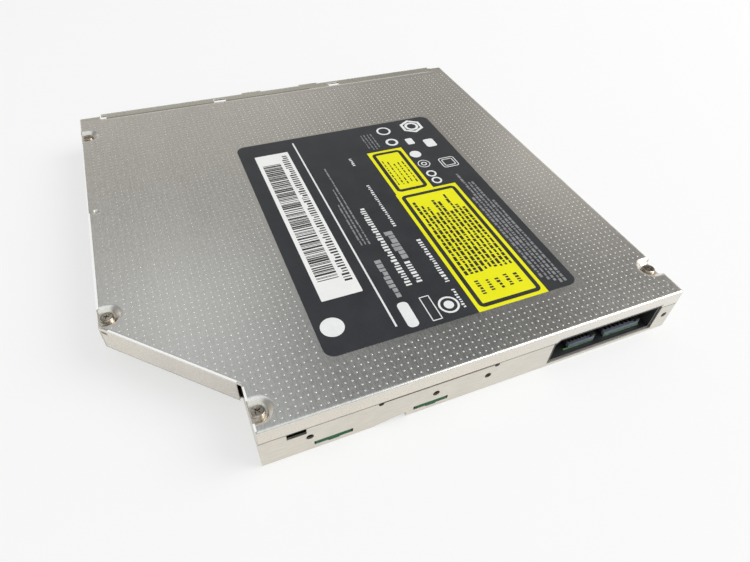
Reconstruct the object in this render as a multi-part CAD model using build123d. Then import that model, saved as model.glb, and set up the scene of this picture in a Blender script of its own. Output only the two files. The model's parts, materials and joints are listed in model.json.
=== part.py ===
from build123d import *
import os
from math import asin, atan, atan2, cos, degrees, pi, radians, sin, sqrt, tan

# Slim slot-loading disc writer, bare drive without a bezel.
# Frame: X to the right seen from the slot, Y towards the connectors at the rear,
# Z up, origin under the middle of the drive on the surface it lies on.
# All sizes are millimetres.

# Casing
case_width = 128.0
front_edge_y = -62.5
rear_y = 64.5
case_height = 12.7
label_thickness = 0.08
sticker_thickness = 0.06
cover_sheet = 0.5
chassis_sheet = 0.5
seam_gap = 0.05
deck_right_x = 39.45
wing_bottom = 6.2
corner_step = 11.55
case_corner_radius = 0.6
edge_radius = 0.4
rear_flange_depth = 3.96
side_flange_depth = 2.1

# Slot side of the cover
lip_drop = 0.15
lip_slope = 0.45
lip_inner_y = -60.3
lip_reach = 1.3
lip_right_inset = 6.3
lip_left_inset = 4.8
lip_slot_width = 3.9
lip_slot_depth = 2.1
lip_slot_centres = (20.25, -20.55)
lip_relief_width = 1.8
lip_tab_reach = 0.7
lip_tab_width = 6.6
lip_tab_centres = (8.95, -11.5)
slot_floor = 7.3
slot_inset = 3.4
slot_guide_front_y = -61.8
slot_guide_rear_y = -54.6
pad_inset = 10.0

# Screw seats pressed into the cover
seat_depth = 0.8
seat_radius = 3.1
seat_draft = 57.0
seat_sheet = 0.45
screw_head_radius = 1.45
screw_head_height = 0.55
screw_shank_radius = 0.75
screw_slot = 0.32
ear_thickness = 0.6

# Printed label and sticker on the cover
label_left_x = -41.6
label_right_x = 21.9
label_front_y = -30.0
label_rear_y = 53.1
label_corner_radius = 2.5
sticker_left_x = 7.8
sticker_right_x = 17.8
sticker_front_y = -23.3
sticker_rear_y = 37.9

# Rear wall openings
rear_hole_radius = 0.8
rear_hole_z = 5.2
rear_hole_inset = 2.6
board_slot_z = 2.2
board_slot_height = 1.2
board_slots = ((28.6, 20.3), (6.6, -1.65))
key_slot = (30.0, 34.0, 6.8, 8.6)
seam_slot = (-12.9, 14.3)
seam_slot_height = 0.2
seam_notch_radius = 0.6
notch_right_x = 15.4
notch_left_x = 8.2
notch_low_z = 0.5
notch_top_z = 1.7

# Mounting holes in the side walls
side_mount_ys = (-42.0, 28.0)
side_mount_z = 6.0
wing_mount_ys = (-42.0, 18.0)
wing_mount_z = 8.6

# Serial interface socket
socket_inset = 5.0
socket_width = 31.2
socket_bottom_z = 1.2
socket_top_z = 9.6
socket_bevel = 1.5
socket_depth = 7.8
socket_wall = 0.7
socket_clearance = 0.2
tongue_bottom_z = 2.4
tongue_thickness = 1.2
tongue_recess = 1.2
power_tongue_start = 16.9
power_tongue_width = 7.5
signal_tongue_start = 3.3
signal_tongue_width = 10.6
power_pins = 6
power_pitch = 1.0
signal_pins = 7
signal_pitch = 1.27

# Main board
board_thickness = 1.0
board_bottom_z = 1.7
board_inset = 7.0
board_right_x = 31.0
board_front_y = 27.2
board_rear_y = 63.6
board_tab_reach = 0.8
board_screw_places = ((-53.5, 31.0), (-20.0, 60.0), (12.0, 45.0), (27.0, 59.5))

# Chuck and spindle
disc_seat_z = 9.0
hub_height = 2.0
hub_radius = 7.4
table_radius = 14.6
table_thickness = 0.6
yoke_radius = 11.8
yoke_wall = 0.5
yoke_bottom_z = 5.9
shaft_radius = 1.0
running_gap = 0.05

# Traverse unit, in its own axes: p outwards along the pickup's travel, q across it.
# Heights are those of the raised, level position.
travel_heading = 225.0
pivot_p = 68.0
pivot_z = 2.6
pivot_radius = 0.7
pivot_lug = 0.8
pivot_lug_q = 17.9
spindle_lift = 2.0
lift_plate_z = 3.4
lift_plate = 0.8
float_gap = 0.4
float_plate = 0.8
rod_z = 5.3
rod_radius = 1.0
rod_inner_p = 8.6
rod_holder = 2.2
rod_seat_top_z = 6.8
lens_start_p = 23.5
pickup_travel = 33.0
pickup_half_width = 19.0
pickup_inner = 9.0
pickup_outer = 8.0
pickup_bottom_z = 2.4
pickup_top_z = 6.6
lens_radius = 2.2
lens_top_z = 7.8
screw_z = 4.2
screw_radius = 1.1
sled_motor_radius = 2.5
sled_motor_p = (45.4, 55.6)
damper_radius = 2.3
damper_places = ((-18.6, 6.0), (45.0, -25.4), (40.0, 29.2))

# Loading train
gear_module = 0.5
gear_backlash = 0.16
pinion_teeth = 12
wheel_teeth = 24
rack_steps = 8
pinion_x = 29.5
pinion_y = -40.0
mesh_heading = 207.0
worm_radius = 2.0
motor_right_x = 15.6
motor_length = 13.5
motor_half_width = 4.2
gear_stud_radius = 0.9
slider_inner_x = 33.1
slider_outer_x = 38.3
slider_front_y = -58.0
slider_low_z = 1.2
slider_bar = 1.4
cam_wall = 1.2
cam_wall_top_z = 6.7
cam_pin_radius = 0.7
cam_pin_gap = 0.25
cam_pin_z = 5.25
side_pin_y = -12.0
rear_pin_x = -8.0
cross_wall_y = 21.7
crank_x = 22.4
crank_y = 36.0
crank_arm = 13.3
crank_z = 3.5
crank_thickness = 0.9

# Disc levers
lever_z = 7.0
lever_thickness = 0.8
peg_radius = 1.6
peg_top_z = 11.2
lever_stud_radius = 1.0

# Worked out from the values above
half_width = case_width / 2
corner_cut = half_width - deck_right_x
cover_top = case_height - label_thickness - sticker_thickness
cover_under = cover_top - cover_sheet
cut_start_y = rear_y - corner_step - corner_cut
step_y = rear_y - corner_step
rear_seam_z = cover_top - rear_flange_depth
side_seam_z = cover_top - side_flange_depth
lip_front_y = front_edge_y - lip_reach
lip_right_x = half_width - lip_right_inset
lip_left_x = -half_width + lip_left_inset
slot_half_width = half_width - slot_inset
pad_half_width = half_width - pad_inset
wing_floor = wing_bottom + chassis_sheet
seat_floor = cover_top - seat_depth
socket_left_x = -half_width + socket_inset
socket_right_x = socket_left_x + socket_width
power_tongue = (socket_left_x + power_tongue_start, socket_left_x + power_tongue_start + power_tongue_width)
signal_tongue = (socket_left_x + signal_tongue_start, socket_left_x + signal_tongue_start + signal_tongue_width)
board_left_x = -half_width + board_inset
rear_hole_xs = (29.4, 1.5, -11.2, -half_width + rear_hole_inset)
rod_q = pickup_half_width - 2.5
screw_q = pickup_half_width + 3.8
eject_pivot = (-half_width + 14.0, 36.0)
eject_tip = (-4.0, 26.0)
guide_pivot = (-half_width + 4.0, 20.0)
guide_tip = (-half_width + 8.5, -30.0)
loading_pivot = (half_width - 7.0, 14.0)
loading_tip = (half_width - 8.5, -42.0)
tilt = degrees(asin(spindle_lift / pivot_p))
float_z = lift_plate_z + lift_plate + float_gap
rod_outer_p = lens_start_p + pickup_outer + pickup_travel + 0.5 + rod_holder
rack_pitch = pi * gear_module
slide_travel = rack_steps * rack_pitch
crank_swing = degrees(atan(slide_travel / 2 / crank_arm))
pinion_pitch_radius = pinion_teeth * gear_module / 2
wheel_pitch_radius = wheel_teeth * gear_module / 2
worm_gear_x = pinion_x + (pinion_pitch_radius + wheel_pitch_radius) * cos(radians(mesh_heading))
worm_gear_y = pinion_y + (pinion_pitch_radius + wheel_pitch_radius) * sin(radians(mesh_heading))
worm_y = worm_gear_y - wheel_pitch_radius - worm_radius
rack_tier = (slider_low_z, slider_low_z + slider_bar)
worm_tier = (rack_tier[1] + 0.3, rack_tier[1] + 1.7)
relay_tier = (worm_tier[1] + 0.3, worm_tier[1] + 1.7)
worm_z = (worm_tier[0] + worm_tier[1]) / 2

# Screw seats: centre x, centre y, side that is open.
seat_places = (
    (half_width - 1.85, -51.2, "right"),
    (half_width - 1.85, cut_start_y - 2.8, "right"),
    (deck_right_x - 1.6, 59.6, "right"),
    (-half_width + 2.15, 55.0, "left"),
)

# The traverse swings about the cross pins at its outer end; at rest the spindle end hangs low.
heading = Location((0, 0, 0), (0, 0, travel_heading))
rest_place = heading * Pos(pivot_p, 0, pivot_z) * Rot(0, -tilt, 0) * Pos(-pivot_p, 0, -pivot_z)


def block(x0, x1, y0, y1, z0, z1):
    return Pos(x0, y0, z0) * Box(x1 - x0, y1 - y0, z1 - z0, align=(Align.MIN, Align.MIN, Align.MIN))


def disc(x, y, z0, z1, radius):
    return Pos(x, y, z0) * Cylinder(radius, z1 - z0, align=(Align.CENTER, Align.CENTER, Align.MIN))


def slab(outline, z0, z1):
    return Pos(0, 0, z0) * extrude(outline, amount=z1 - z0)


def polygon(points):
    return make_face(Polyline(points, close=True))


def bar(start, end, half):
    """A round-ended strip between two points of the plan."""
    length = sqrt((end[0] - start[0]) ** 2 + (end[1] - start[1]) ** 2)
    turn = degrees(atan2(end[1] - start[1], end[0] - start[0]))
    middle = Pos((start[0] + end[0]) / 2, (start[1] + end[1]) / 2)
    return middle * Rot(0, 0, turn) * SlotCenterToCenter(length, 2 * half)


def to_p(x, y):
    """Distance of a plan point along the pickup's travel."""
    return (-x - y) / sqrt(2)


def case_outline(inset=0.0):
    """Plan of the whole drive: one rear corner is cut off at 45 degrees and stepped."""
    points = [
        (half_width, front_edge_y),
        (half_width, cut_start_y),
        (deck_right_x, step_y),
        (deck_right_x, rear_y),
        (-half_width, rear_y),
        (-half_width, front_edge_y),
    ]
    face = polygon(points)
    corners = [v for v in face.vertices() if abs(v.Y - front_edge_y) < 0.1 or v.X < 0]
    face = fillet(corners, case_corner_radius)
    return offset(face, -inset) if inset else face


def deck_outline(inset=0.0):
    """Plan of the full-height part that holds the mechanism and the board."""
    middle_x = (deck_right_x - half_width) / 2
    middle_y = (front_edge_y + rear_y) / 2
    face = Pos(middle_x, middle_y) * Rectangle(deck_right_x + half_width, rear_y - front_edge_y)
    corners = [v for v in face.vertices() if v.X < 0]
    face = fillet(corners, case_corner_radius)
    return offset(face, -inset) if inset else face


def corner_slab(depth, z0, z1):
    """The strip along the 45 degree cut, as deep as the cover's flange there."""
    run = corner_cut * sqrt(2)
    middle = ((half_width + deck_right_x) / 2, (cut_start_y + step_y) / 2)
    strip = Pos(*middle) * Rot(0, 0, 135) * Pos(0, depth / 2) * Rectangle(run, depth)
    return slab(strip & case_outline(), z0, z1)


def seat_outline(x, y, side, grow=0.0):
    """U-shaped screw seat, round towards the middle and open at the casing's side."""
    reach = half_width - abs(x) + 3 if abs(x) > 50 else deck_right_x - x + 3
    sign = 1 if side == "right" else -1
    body = Pos(x + sign * reach / 2, y) * Rectangle(reach, 2 * (seat_radius + grow))
    return body + Pos(x, y) * Circle(seat_radius + grow)


def top_cover():
    """Folded sheet cover with side flanges, a lowered front lip and pressed screw seats."""
    deep_z = wing_bottom
    outer = slab(case_outline(), deep_z, cover_top)
    outer = fillet(outer.faces().sort_by(Axis.Z)[-1].edges(), edge_radius)
    hollow = slab(case_outline(cover_sheet), deep_z - 1, cover_under)
    shell = outer - hollow
    # Flanges end at the seam on each side; only the one on the cut corner runs down.
    seam_y = rear_y - 2 * case_corner_radius
    shell -= block(-half_width - 1, half_width + 1, front_edge_y - 1, cut_start_y, deep_z - 1, side_seam_z)
    shell -= block(-half_width - 1, -40, front_edge_y - 1, seam_y, deep_z - 1, side_seam_z)
    shell -= block(-half_width - 1, deck_right_x + 0.01, seam_y, rear_y + 1, deep_z - 1, rear_seam_z)
    shell -= block(deck_right_x - 1, deck_right_x + 1, step_y + 0.6, rear_y + 1, deep_z - 1, rear_seam_z)
    # No flange along the slot.
    shell -= block(-slot_half_width, slot_half_width, front_edge_y - 1, front_edge_y + 2, deep_z, cover_under)
    # The flange is cut higher over the interface socket, with a bevelled corner.
    window = polygon([
        (socket_left_x, deep_z), (socket_left_x, socket_top_z),
        (socket_right_x - socket_bevel, socket_top_z), (socket_right_x, socket_top_z - socket_bevel),
        (socket_right_x, deep_z),
    ])
    shell -= extrude(Plane.XZ.offset(-rear_y - 1) * window, amount=3)
    # Lowered lip with two slots and two short tabs; a short slope leads down to it.
    lip_span = (lip_left_x, lip_right_x)
    lip_back_y = lip_inner_y + cover_sheet
    shell -= block(*lip_span, front_edge_y - 1, lip_inner_y + lip_slope, cover_under - 1, cover_top + 1)
    profile = polygon([
        (lip_front_y, cover_under - lip_drop), (lip_front_y, cover_top - lip_drop),
        (lip_inner_y, cover_top - lip_drop), (lip_inner_y + lip_slope, cover_top), (lip_back_y, cover_top),
        (lip_back_y, cover_under - lip_drop),
    ])
    lip = extrude(Plane.YZ.offset(lip_left_x) * profile, amount=lip_right_x - lip_left_x)
    for x in lip_tab_centres:
        half = lip_tab_width / 2
        lip += block(x - half, x + half, lip_front_y - lip_tab_reach, lip_front_y, cover_under - lip_drop,
                     cover_top - lip_drop)
    lip_under = cover_under - lip_drop
    lip_ends = block(lip_left_x - cover_sheet, lip_left_x, front_edge_y, lip_back_y, lip_under, cover_top)
    lip_ends += block(lip_right_x, lip_right_x + cover_sheet, front_edge_y, lip_back_y, lip_under, cover_top)
    shell += lip + lip_ends
    # The slots, and a relief cut where the lip's slope runs out beside the corner.
    slot_back_y = lip_inner_y - 0.3
    slot_spans = [(x - lip_slot_width / 2, x + lip_slot_width / 2) for x in lip_slot_centres]
    slot_spans.append((lip_right_x + 0.3 - lip_relief_width, lip_right_x + 0.3))
    for x0, x1 in slot_spans:
        shell -= block(x0, x1, slot_back_y - lip_slot_depth, slot_back_y, cover_under - 2, cover_top + 1)
    # Screw seats.
    for x, y, side in seat_places:
        pan_top = cover_under + 0.2
        pan_depth = pan_top - seat_floor + seat_sheet
        pan = Pos(0, 0, pan_top) * extrude(seat_outline(x, y, side, 0.35), amount=-pan_depth, taper=seat_draft)
        well = Pos(0, 0, cover_top) * extrude(seat_outline(x, y, side), amount=-seat_depth, taper=seat_draft)
        pan = pan & slab(case_outline(0.02), 0, 20)
        shell = shell + pan - well
        shell -= disc(x, y, 0, 20, screw_shank_radius + 0.1)
    # The seat near the socket breaks through the casing's edge.
    x, y, side = seat_places[3]
    shell -= block(-half_width - 1, -half_width + cover_sheet + 0.3, y - seat_radius + 0.6,
                   y + seat_radius - 0.6, side_seam_z - 1, cover_top + 1)
    # Narrow relief in the corner flange and the slit beside the fold.
    relief = Pos(half_width - 0.85, cut_start_y + 0.85, (10.6 + 12.0) / 2) * Rot(0, 0, -45) * Box(1.6, 3, 0.6)
    shell -= relief
    shell -= block(deck_right_x - 0.1, deck_right_x + 0.7, step_y - 1.2, step_y + 1.2, deep_z - 1, cover_under)
    # Small round pip near the wing's edge.
    shell -= disc(half_width - 2.05, -12.1, cover_top - 0.3, 20, 0.8)
    return shell


def bottom_chassis():
    """Folded sheet tray: deep deck with a raised wing beside it."""
    wall_top = side_seam_z - seam_gap
    outer = slab(deck_outline(), 0, wall_top)
    outer = fillet(outer.faces().sort_by(Axis.Z)[0].edges(), edge_radius)
    outer += slab(case_outline(), wing_bottom, wall_top)
    inner = slab(deck_outline(chassis_sheet), chassis_sheet, wall_top + 1)
    inner += slab(case_outline(chassis_sheet), wing_floor, wall_top + 1)
    tray = outer - inner
    # The cover's own flange closes the cut corner.
    tray -= corner_slab(cover_sheet + seam_gap, wing_bottom - 1, wall_top + 1)
    tray -= block(deck_right_x, half_width, step_y - 0.05, rear_y + 1, wing_bottom - 1, wall_top + 1)
    tray -= block(deck_right_x - 0.65, deck_right_x + 1, step_y - 0.6, step_y + 0.7, wing_bottom - 0.05,
                  wall_top + 1)
    # Rear wall ends under the cover's flange, front wall under the slot.
    rear_top = rear_seam_z - seam_gap
    seam_y = rear_y - 2 * case_corner_radius
    tray -= block(-half_width - 1, half_width, seam_y, rear_y + 1, rear_top, wall_top + 1)
    tray -= block(deck_right_x - 1, half_width, step_y - 1, rear_y + 1, rear_top, wall_top + 1)
    tray -= block(-slot_half_width, slot_half_width, front_edge_y - 1, front_edge_y + 1, slot_floor, wall_top + 1)
    # Tongues that stand inside the cover's flanges.
    tongue = chassis_sheet
    inset = cover_sheet + seam_gap
    for x0, x1 in ((-22.0, -14.0), (3.0, 12.0), (30.0, 38.0)):
        tray += block(x0, x1, rear_y - inset - tongue, rear_y - inset, rear_top - 1.2, rear_top + 2.0)
        tray += block(x0, x1, rear_y - inset, rear_y - chassis_sheet, rear_top - 1.2, rear_top)
    for y0, y1 in ((-45.0, -33.0), (-8.0, 6.0), (30.0, 42.0)):
        tray += block(-half_width + inset, -half_width + inset + tongue, y0, y1, wall_top - 1.2, wall_top + 0.9)
        tray += block(-half_width + chassis_sheet, -half_width + inset, y0, y1, wall_top - 1.2, wall_top)
    # Threaded ears under the cover's screw seats.
    ear_top = seat_floor - seat_sheet - seam_gap
    for x, y, side in seat_places:
        sign = 1 if side == "right" else -1
        edge = half_width if abs(x) > 50 else deck_right_x
        wall_in = sign * (edge - chassis_sheet)
        tongue_out = sign * (edge - inset)
        tongue_in = sign * (edge - inset - tongue)
        low = wall_top if edge == half_width and y < rear_y - 4 else rear_top
        x_ear = x - sign * 2.3
        for x0, x1, z0, z1 in (
                (x_ear, tongue_out, ear_top - ear_thickness, ear_top), (tongue_in, tongue_out, low - 1.5, ear_top),
                (tongue_out, wall_in, low - 1.5, low)):
            tray += block(min(x0, x1), max(x0, x1), y - 2.2, y + 2.2, z0, z1)
        tray -= disc(x, y, ear_top - 2, ear_top + 1, screw_shank_radius + running_gap)
    # Rear wall: round holes, board slots, key slot, notch and socket window.
    rear = Plane.XZ.offset(-rear_y - 1)
    cuts = [Pos(x, rear_hole_z) * Circle(rear_hole_radius) for x in rear_hole_xs]
    for x1, x0 in board_slots:
        middle = Pos((x0 + x1) / 2, board_slot_z)
        cuts.append(middle * Rectangle(x1 - x0, board_slot_height))
        cuts.append(middle * Pos(0, -0.3) * Rectangle((x1 - x0) / 3.5, board_slot_height))
    x0, x1, z0, z1 = key_slot
    cuts.append(Pos((x0 + x1) / 2, (z0 + z1) / 2) * Rectangle(x1 - x0, z1 - z0))
    cuts.append(polygon([(notch_right_x, -1), (notch_right_x, notch_low_z), (notch_left_x + 0.9, notch_top_z),
                         (notch_left_x, notch_top_z), (notch_left_x, -1)]))
    cuts.append(polygon([
        (socket_left_x, socket_bottom_z), (socket_left_x, socket_top_z + 1),
        (socket_right_x, socket_top_z + 1), (socket_right_x, socket_bottom_z),
    ]))
    for x in seam_slot:
        cuts.append(Pos(x, rear_top - seam_notch_radius / 2) * Circle(seam_notch_radius))
    for cut in cuts:
        tray -= extrude(rear * cut, amount=2.5)
    # The seam is wider between its two notches.
    tray -= block(*seam_slot, rear_y - chassis_sheet, rear_y + 1, rear_top - seam_slot_height, rear_top + 1)
    # Threaded holes on the sides for the mounting screws.
    for y in side_mount_ys:
        tray -= Pos(-half_width, y, side_mount_z) * Rot(0, 90, 0) * Cylinder(rear_hole_radius, 6)
    for y in wing_mount_ys:
        tray -= Pos(half_width, y, wing_mount_z) * Rot(0, 90, 0) * Cylinder(rear_hole_radius, 6)
    # Pressed rings and beads that stiffen the floor.
    bead = 0.2
    ring = Circle(17.0) - Circle(15.5)
    tray = tray - slab(ring, -1, bead) + slab(ring, chassis_sheet - 0.1, chassis_sheet + bead)
    for y in (-24.0, -29.0):
        strip = Pos(20, y) * SlotCenterToCenter(16, 2.0)
        tray = tray - slab(strip, -1, bead) + slab(strip, chassis_sheet - 0.1, chassis_sheet + bead)
    # Standoffs under the board and the traverse's pivot lugs.
    for x, y in board_screw_places:
        tray += disc(x, y, chassis_sheet - 0.1, board_bottom_z, 2.1)
        tray -= disc(x, y, chassis_sheet + 0.2, board_bottom_z + 1, 0.7)
    for sign in (-1, 1):
        q = sign * pivot_lug_q
        lug = block(pivot_p - 1.5, pivot_p + 1.5, q - pivot_lug / 2, q + pivot_lug / 2, chassis_sheet - 0.1,
                    pivot_z + 1.4)
        hole = Pos(pivot_p, q, pivot_z) * Rot(90, 0, 0) * Cylinder(pivot_radius + running_gap, 3)
        tray += heading * (lug - hole)
    return tray


def cover_screws():
    """Four small cross-recess screws that hold the cover."""
    screws = []
    for x, y, side in seat_places:
        head = disc(x, y, seat_floor, seat_floor + screw_head_height, screw_head_radius)
        head = chamfer(head.faces().sort_by(Axis.Z)[-1].edges(), 0.2)
        shank = disc(x, y, seat_floor - 1.7, seat_floor + 0.1, screw_shank_radius)
        turn = Rot(0, 0, 35)
        deep = screw_head_height + seat_floor - 0.35
        cross = Pos(x, y, deep + 0.5) * turn * (Box(1.7, screw_slot, 1.0) + Box(screw_slot, 1.7, 1.0))
        screws.append(head + shank - cross)
    return screws


def label():
    face = Pos((label_left_x + label_right_x) / 2, (label_front_y + label_rear_y) / 2) * RectangleRounded(
        label_right_x - label_left_x, label_rear_y - label_front_y, label_corner_radius)
    return slab(face, cover_top, cover_top + label_thickness)


def sticker():
    low = cover_top + label_thickness
    return block(sticker_left_x, sticker_right_x, sticker_front_y, sticker_rear_y, low, low + sticker_thickness)


def slot_guides():
    """Plastic cheeks at both ends of the slot."""
    cheeks = []
    for sign in (-1, 1):
        x_wall = sign * (half_width - chassis_sheet - 0.1)
        x_in = sign * (slot_half_width + 0.1)
        points = [(x_wall, slot_guide_front_y), (x_in + sign * 0.8, slot_guide_front_y),
                  (x_in, slot_guide_front_y + 2.3), (x_in, slot_guide_rear_y - 1.9),
                  (x_wall - sign * 0.6, slot_guide_rear_y), (x_wall, slot_guide_rear_y)]
        low = wing_floor if sign > 0 else lever_z
        cheeks.append(slab(polygon(points), low, cover_under - 0.8))
    return cheeks


def slot_pads():
    """Felt strips that wipe the disc: one under the cover, one on the chassis edge."""
    span = (-pad_half_width, pad_half_width)
    upper = block(*span, lip_inner_y + cover_sheet + 0.1, lip_inner_y + 3.2, cover_under - 0.45, cover_under)
    lower = block(*span, front_edge_y + chassis_sheet, front_edge_y + 2.6, slot_floor - 0.5, slot_floor)
    return upper, lower


def pad_ledge():
    """Bent strip along the front wall that carries the lower felt and the sensor board."""
    low = slot_floor - 0.9
    right = deck_right_x - 1.0
    ledge = block(-pad_half_width - 0.5, right, front_edge_y + chassis_sheet, front_edge_y + 2.8, low, low + 0.4)
    for x in (-50.0, 18.0, right - 0.4):
        ledge += block(x, x + 0.4, front_edge_y + chassis_sheet, front_edge_y + 2.8, chassis_sheet, low + 0.2)
    # Notch for the corner of the traverse's rod seat.
    return ledge - block(-38.0, -30.0, front_edge_y + 1.3, front_edge_y + 4, low - 1, low + 1)


def socket_housing():
    """Moulded housing of the interface socket, with two keyed tongues."""
    x0 = socket_left_x + socket_clearance
    x1 = socket_right_x - socket_clearance
    z0 = socket_bottom_z + 0.1
    z1 = socket_top_z - 0.3
    front = rear_y - socket_depth
    back = rear_y - 0.3
    bevel = socket_bevel
    profile = polygon([(x0, z0), (x1, z0), (x1, z1 - bevel), (x1 - bevel, z1), (x0, z1)])
    shell = extrude(Plane.XZ.offset(-back) * profile, amount=back - front)
    cavity = offset(profile, -socket_wall, kind=Kind.INTERSECTION)
    shell -= extrude(Plane.XZ.offset(-back - 1) * cavity, amount=back - front - 0.5)
    end = back - tongue_recess
    for a, b in (power_tongue, signal_tongue):
        shell += block(a, b, front + 1.0, end, tongue_bottom_z, tongue_bottom_z + tongue_thickness)
        shell += block(a, a + 1.1, front + 1.0, end, tongue_bottom_z, tongue_bottom_z + 2.0)
    return shell


def socket_contacts():
    """Gold blades along the top of both tongues, and their solder tails."""
    pins = []
    top = tongue_bottom_z + tongue_thickness
    back = rear_y - 0.3 - tongue_recess
    front = rear_y - socket_depth
    rows = ((power_tongue, power_pins, power_pitch), (signal_tongue, signal_pins, signal_pitch))
    for (a, b), count, pitch in rows:
        middle = (a + 1.1 + b) / 2
        for i in range(count):
            x = middle + (i - (count - 1) / 2) * pitch
            blade = block(x - 0.25, x + 0.25, front + 1.6, back - 0.6, top, top + 0.1)
            tail = block(x - 0.2, x + 0.2, front - 1.4, front, board_bottom_z + board_thickness,
                         board_bottom_z + board_thickness + 0.2)
            pins.append(blade)
            pins.append(tail)
    return pins


def main_board():
    """Circuit board under the rear of the deck; two tabs reach into the rear wall."""
    gap = 0.4
    outline = polygon([
        (board_left_x, board_front_y), (board_right_x, board_front_y), (board_right_x, 46.0),
        (37.5, 48.5), (37.5, board_rear_y), (board_left_x, board_rear_y),
    ])
    board = slab(outline, board_bottom_z, board_bottom_z + board_thickness)
    for x1, x0 in board_slots:
        board += block(x0 + gap, x1 - gap, board_rear_y - 1, board_rear_y + board_tab_reach,
                       board_bottom_z, board_bottom_z + board_thickness)
        middle = (x0 + x1) / 2
        half = (x1 - x0) / 7 - 0.1
        board += block(middle - half, middle + half, board_rear_y - 1, board_rear_y + board_tab_reach,
                       board_bottom_z - 0.3, board_bottom_z + 0.1)
    # Bay for the interface socket, which stands down to the floor.
    board -= block(socket_left_x - 0.1, socket_right_x + 0.1, rear_y - socket_depth - 0.1, rear_y,
                   board_bottom_z - 1, board_bottom_z + 3)
    for x, y in board_screw_places:
        board -= disc(x, y, 0, 5, 0.9)
    board -= disc(*eject_pivot, 0, 5, 2.8)
    board -= disc(crank_x, crank_y, 0, 5, 2.4)
    return board


def board_chips():
    """Main processor, memory, drivers and small parts on the board's top."""
    top = board_bottom_z + board_thickness
    parts = []
    for x, y, wide, deep, tall in (
            (-14.0, 44.0, 18.0, 18.0, 1.2), (6.0, 33.0, 8.0, 11.0, 1.0), (-38.0, 45.0, 9.0, 9.0, 0.9),
            (30.0, 56.0, 6.0, 5.0, 1.0), (4.0, 56.5, 7.0, 5.0, 1.3), (-29.0, 36.0, 5.0, 4.0, 0.9)):
        chip = block(x - wide / 2, x + wide / 2, y - deep / 2, y + deep / 2, top, top + tall)
        parts.append(chamfer(chip.faces().sort_by(Axis.Z)[-1].edges(), 0.15))
    for i in range(6):
        x = 16.0 + 2.4 * i
        parts.append(block(x - 0.6, x + 0.6, 51.0, 53.0, top, top + 0.8))
    for i in range(5):
        x = -30.0 + 3.0 * i
        parts.append(block(x - 0.8, x + 0.8, 54.0, 54.9, top, top + 0.6))
    return parts


def flex_sockets():
    """Flat-cable sockets along the board's front edge, with their flip bars."""
    top = board_bottom_z + board_thickness
    sockets = []
    for x, wide in ((-34.0, 24.0), (-8.0, 10.0), (-52.0, 6.0)):
        body = block(x - wide / 2, x + wide / 2, 27.6, 31.4, top, top + 1.0)
        body -= block(x - wide / 2 + 0.8, x + wide / 2 - 0.8, 27.0, 29.6, top + 0.3, top + 0.6)
        sockets.append(body)
    return sockets


def spindle_base():
    """Motor base with bearing sleeve, stator core and coils, held to the traverse frame."""
    low = float_z - 0.8
    plate = slab(Circle(13.4) & Pos(-0.5, 0) * Rectangle(25, 27), low, float_z)
    plate += disc(0, 0, low - 0.5, float_z + 2.7, 2.7)
    teeth = Circle(5.2) - Circle(2.6)
    for i in range(9):
        teeth += Rot(0, 0, 40 * i) * Pos(6.6, 0) * Rectangle(4.6, 1.7)
        teeth += Rot(0, 0, 40 * i) * (Pos(9.6, 0) * Rectangle(1.4, 4.4))
    plate += slab(teeth, float_z - 0.1, yoke_bottom_z + 1.3)
    plate -= disc(0, 0, float_z - 0.2, 20, shaft_radius + running_gap)
    return rest_place * plate


def turntable():
    """Rotor cup, turntable and chuck hub with three snap claws, on one shaft."""
    seat = disc_seat_z
    top = seat + hub_height
    under = seat - table_thickness
    cup_top = under - 0.1
    profile = polygon([
        (0, float_z + 0.1), (shaft_radius, float_z + 0.1), (shaft_radius, cup_top - yoke_wall),
        (yoke_radius - yoke_wall, cup_top - yoke_wall), (yoke_radius - yoke_wall, yoke_bottom_z),
        (yoke_radius, yoke_bottom_z), (yoke_radius, cup_top), (table_radius - 2.4, under),
        (table_radius, under), (table_radius, seat), (hub_radius, seat),
        (hub_radius, seat + 1.0), (hub_radius - 0.9, top - 0.2), (hub_radius - 1.4, top), (2.4, top),
        (2.4, top - 0.8), (0, top - 0.8),
    ])
    body = revolve(Plane.XZ * profile, axis=Axis.Z)
    for i in range(3):
        turn = Rot(0, 0, 120 * i + 30)
        gap = block(3.2, hub_radius + 1, -2.0, -1.6, seat + 0.1, top + 1)
        gap += block(3.2, hub_radius + 1, 1.6, 2.0, seat + 0.1, top + 1)
        nose = polygon([(3.6, seat + 1.25), (hub_radius, seat + 1.25), (hub_radius + 0.25, seat + 1.45),
                        (hub_radius, top - 0.35), (3.6, top - 0.35)])
        claw = extrude(Plane.XZ.offset(-1.5) * nose, amount=3.0)
        body = body - turn * gap + turn * claw
    ring = Circle(table_radius - 0.4) - Circle(table_radius - 3.0)
    body -= slab(ring, seat - 0.25, seat + 1)
    return rest_place * body


def table_ring():
    """Rubber ring that grips the disc."""
    ring = Circle(table_radius - 0.45) - Circle(table_radius - 2.95)
    return rest_place * slab(ring, disc_seat_z - 0.25, disc_seat_z + 0.05)


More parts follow.
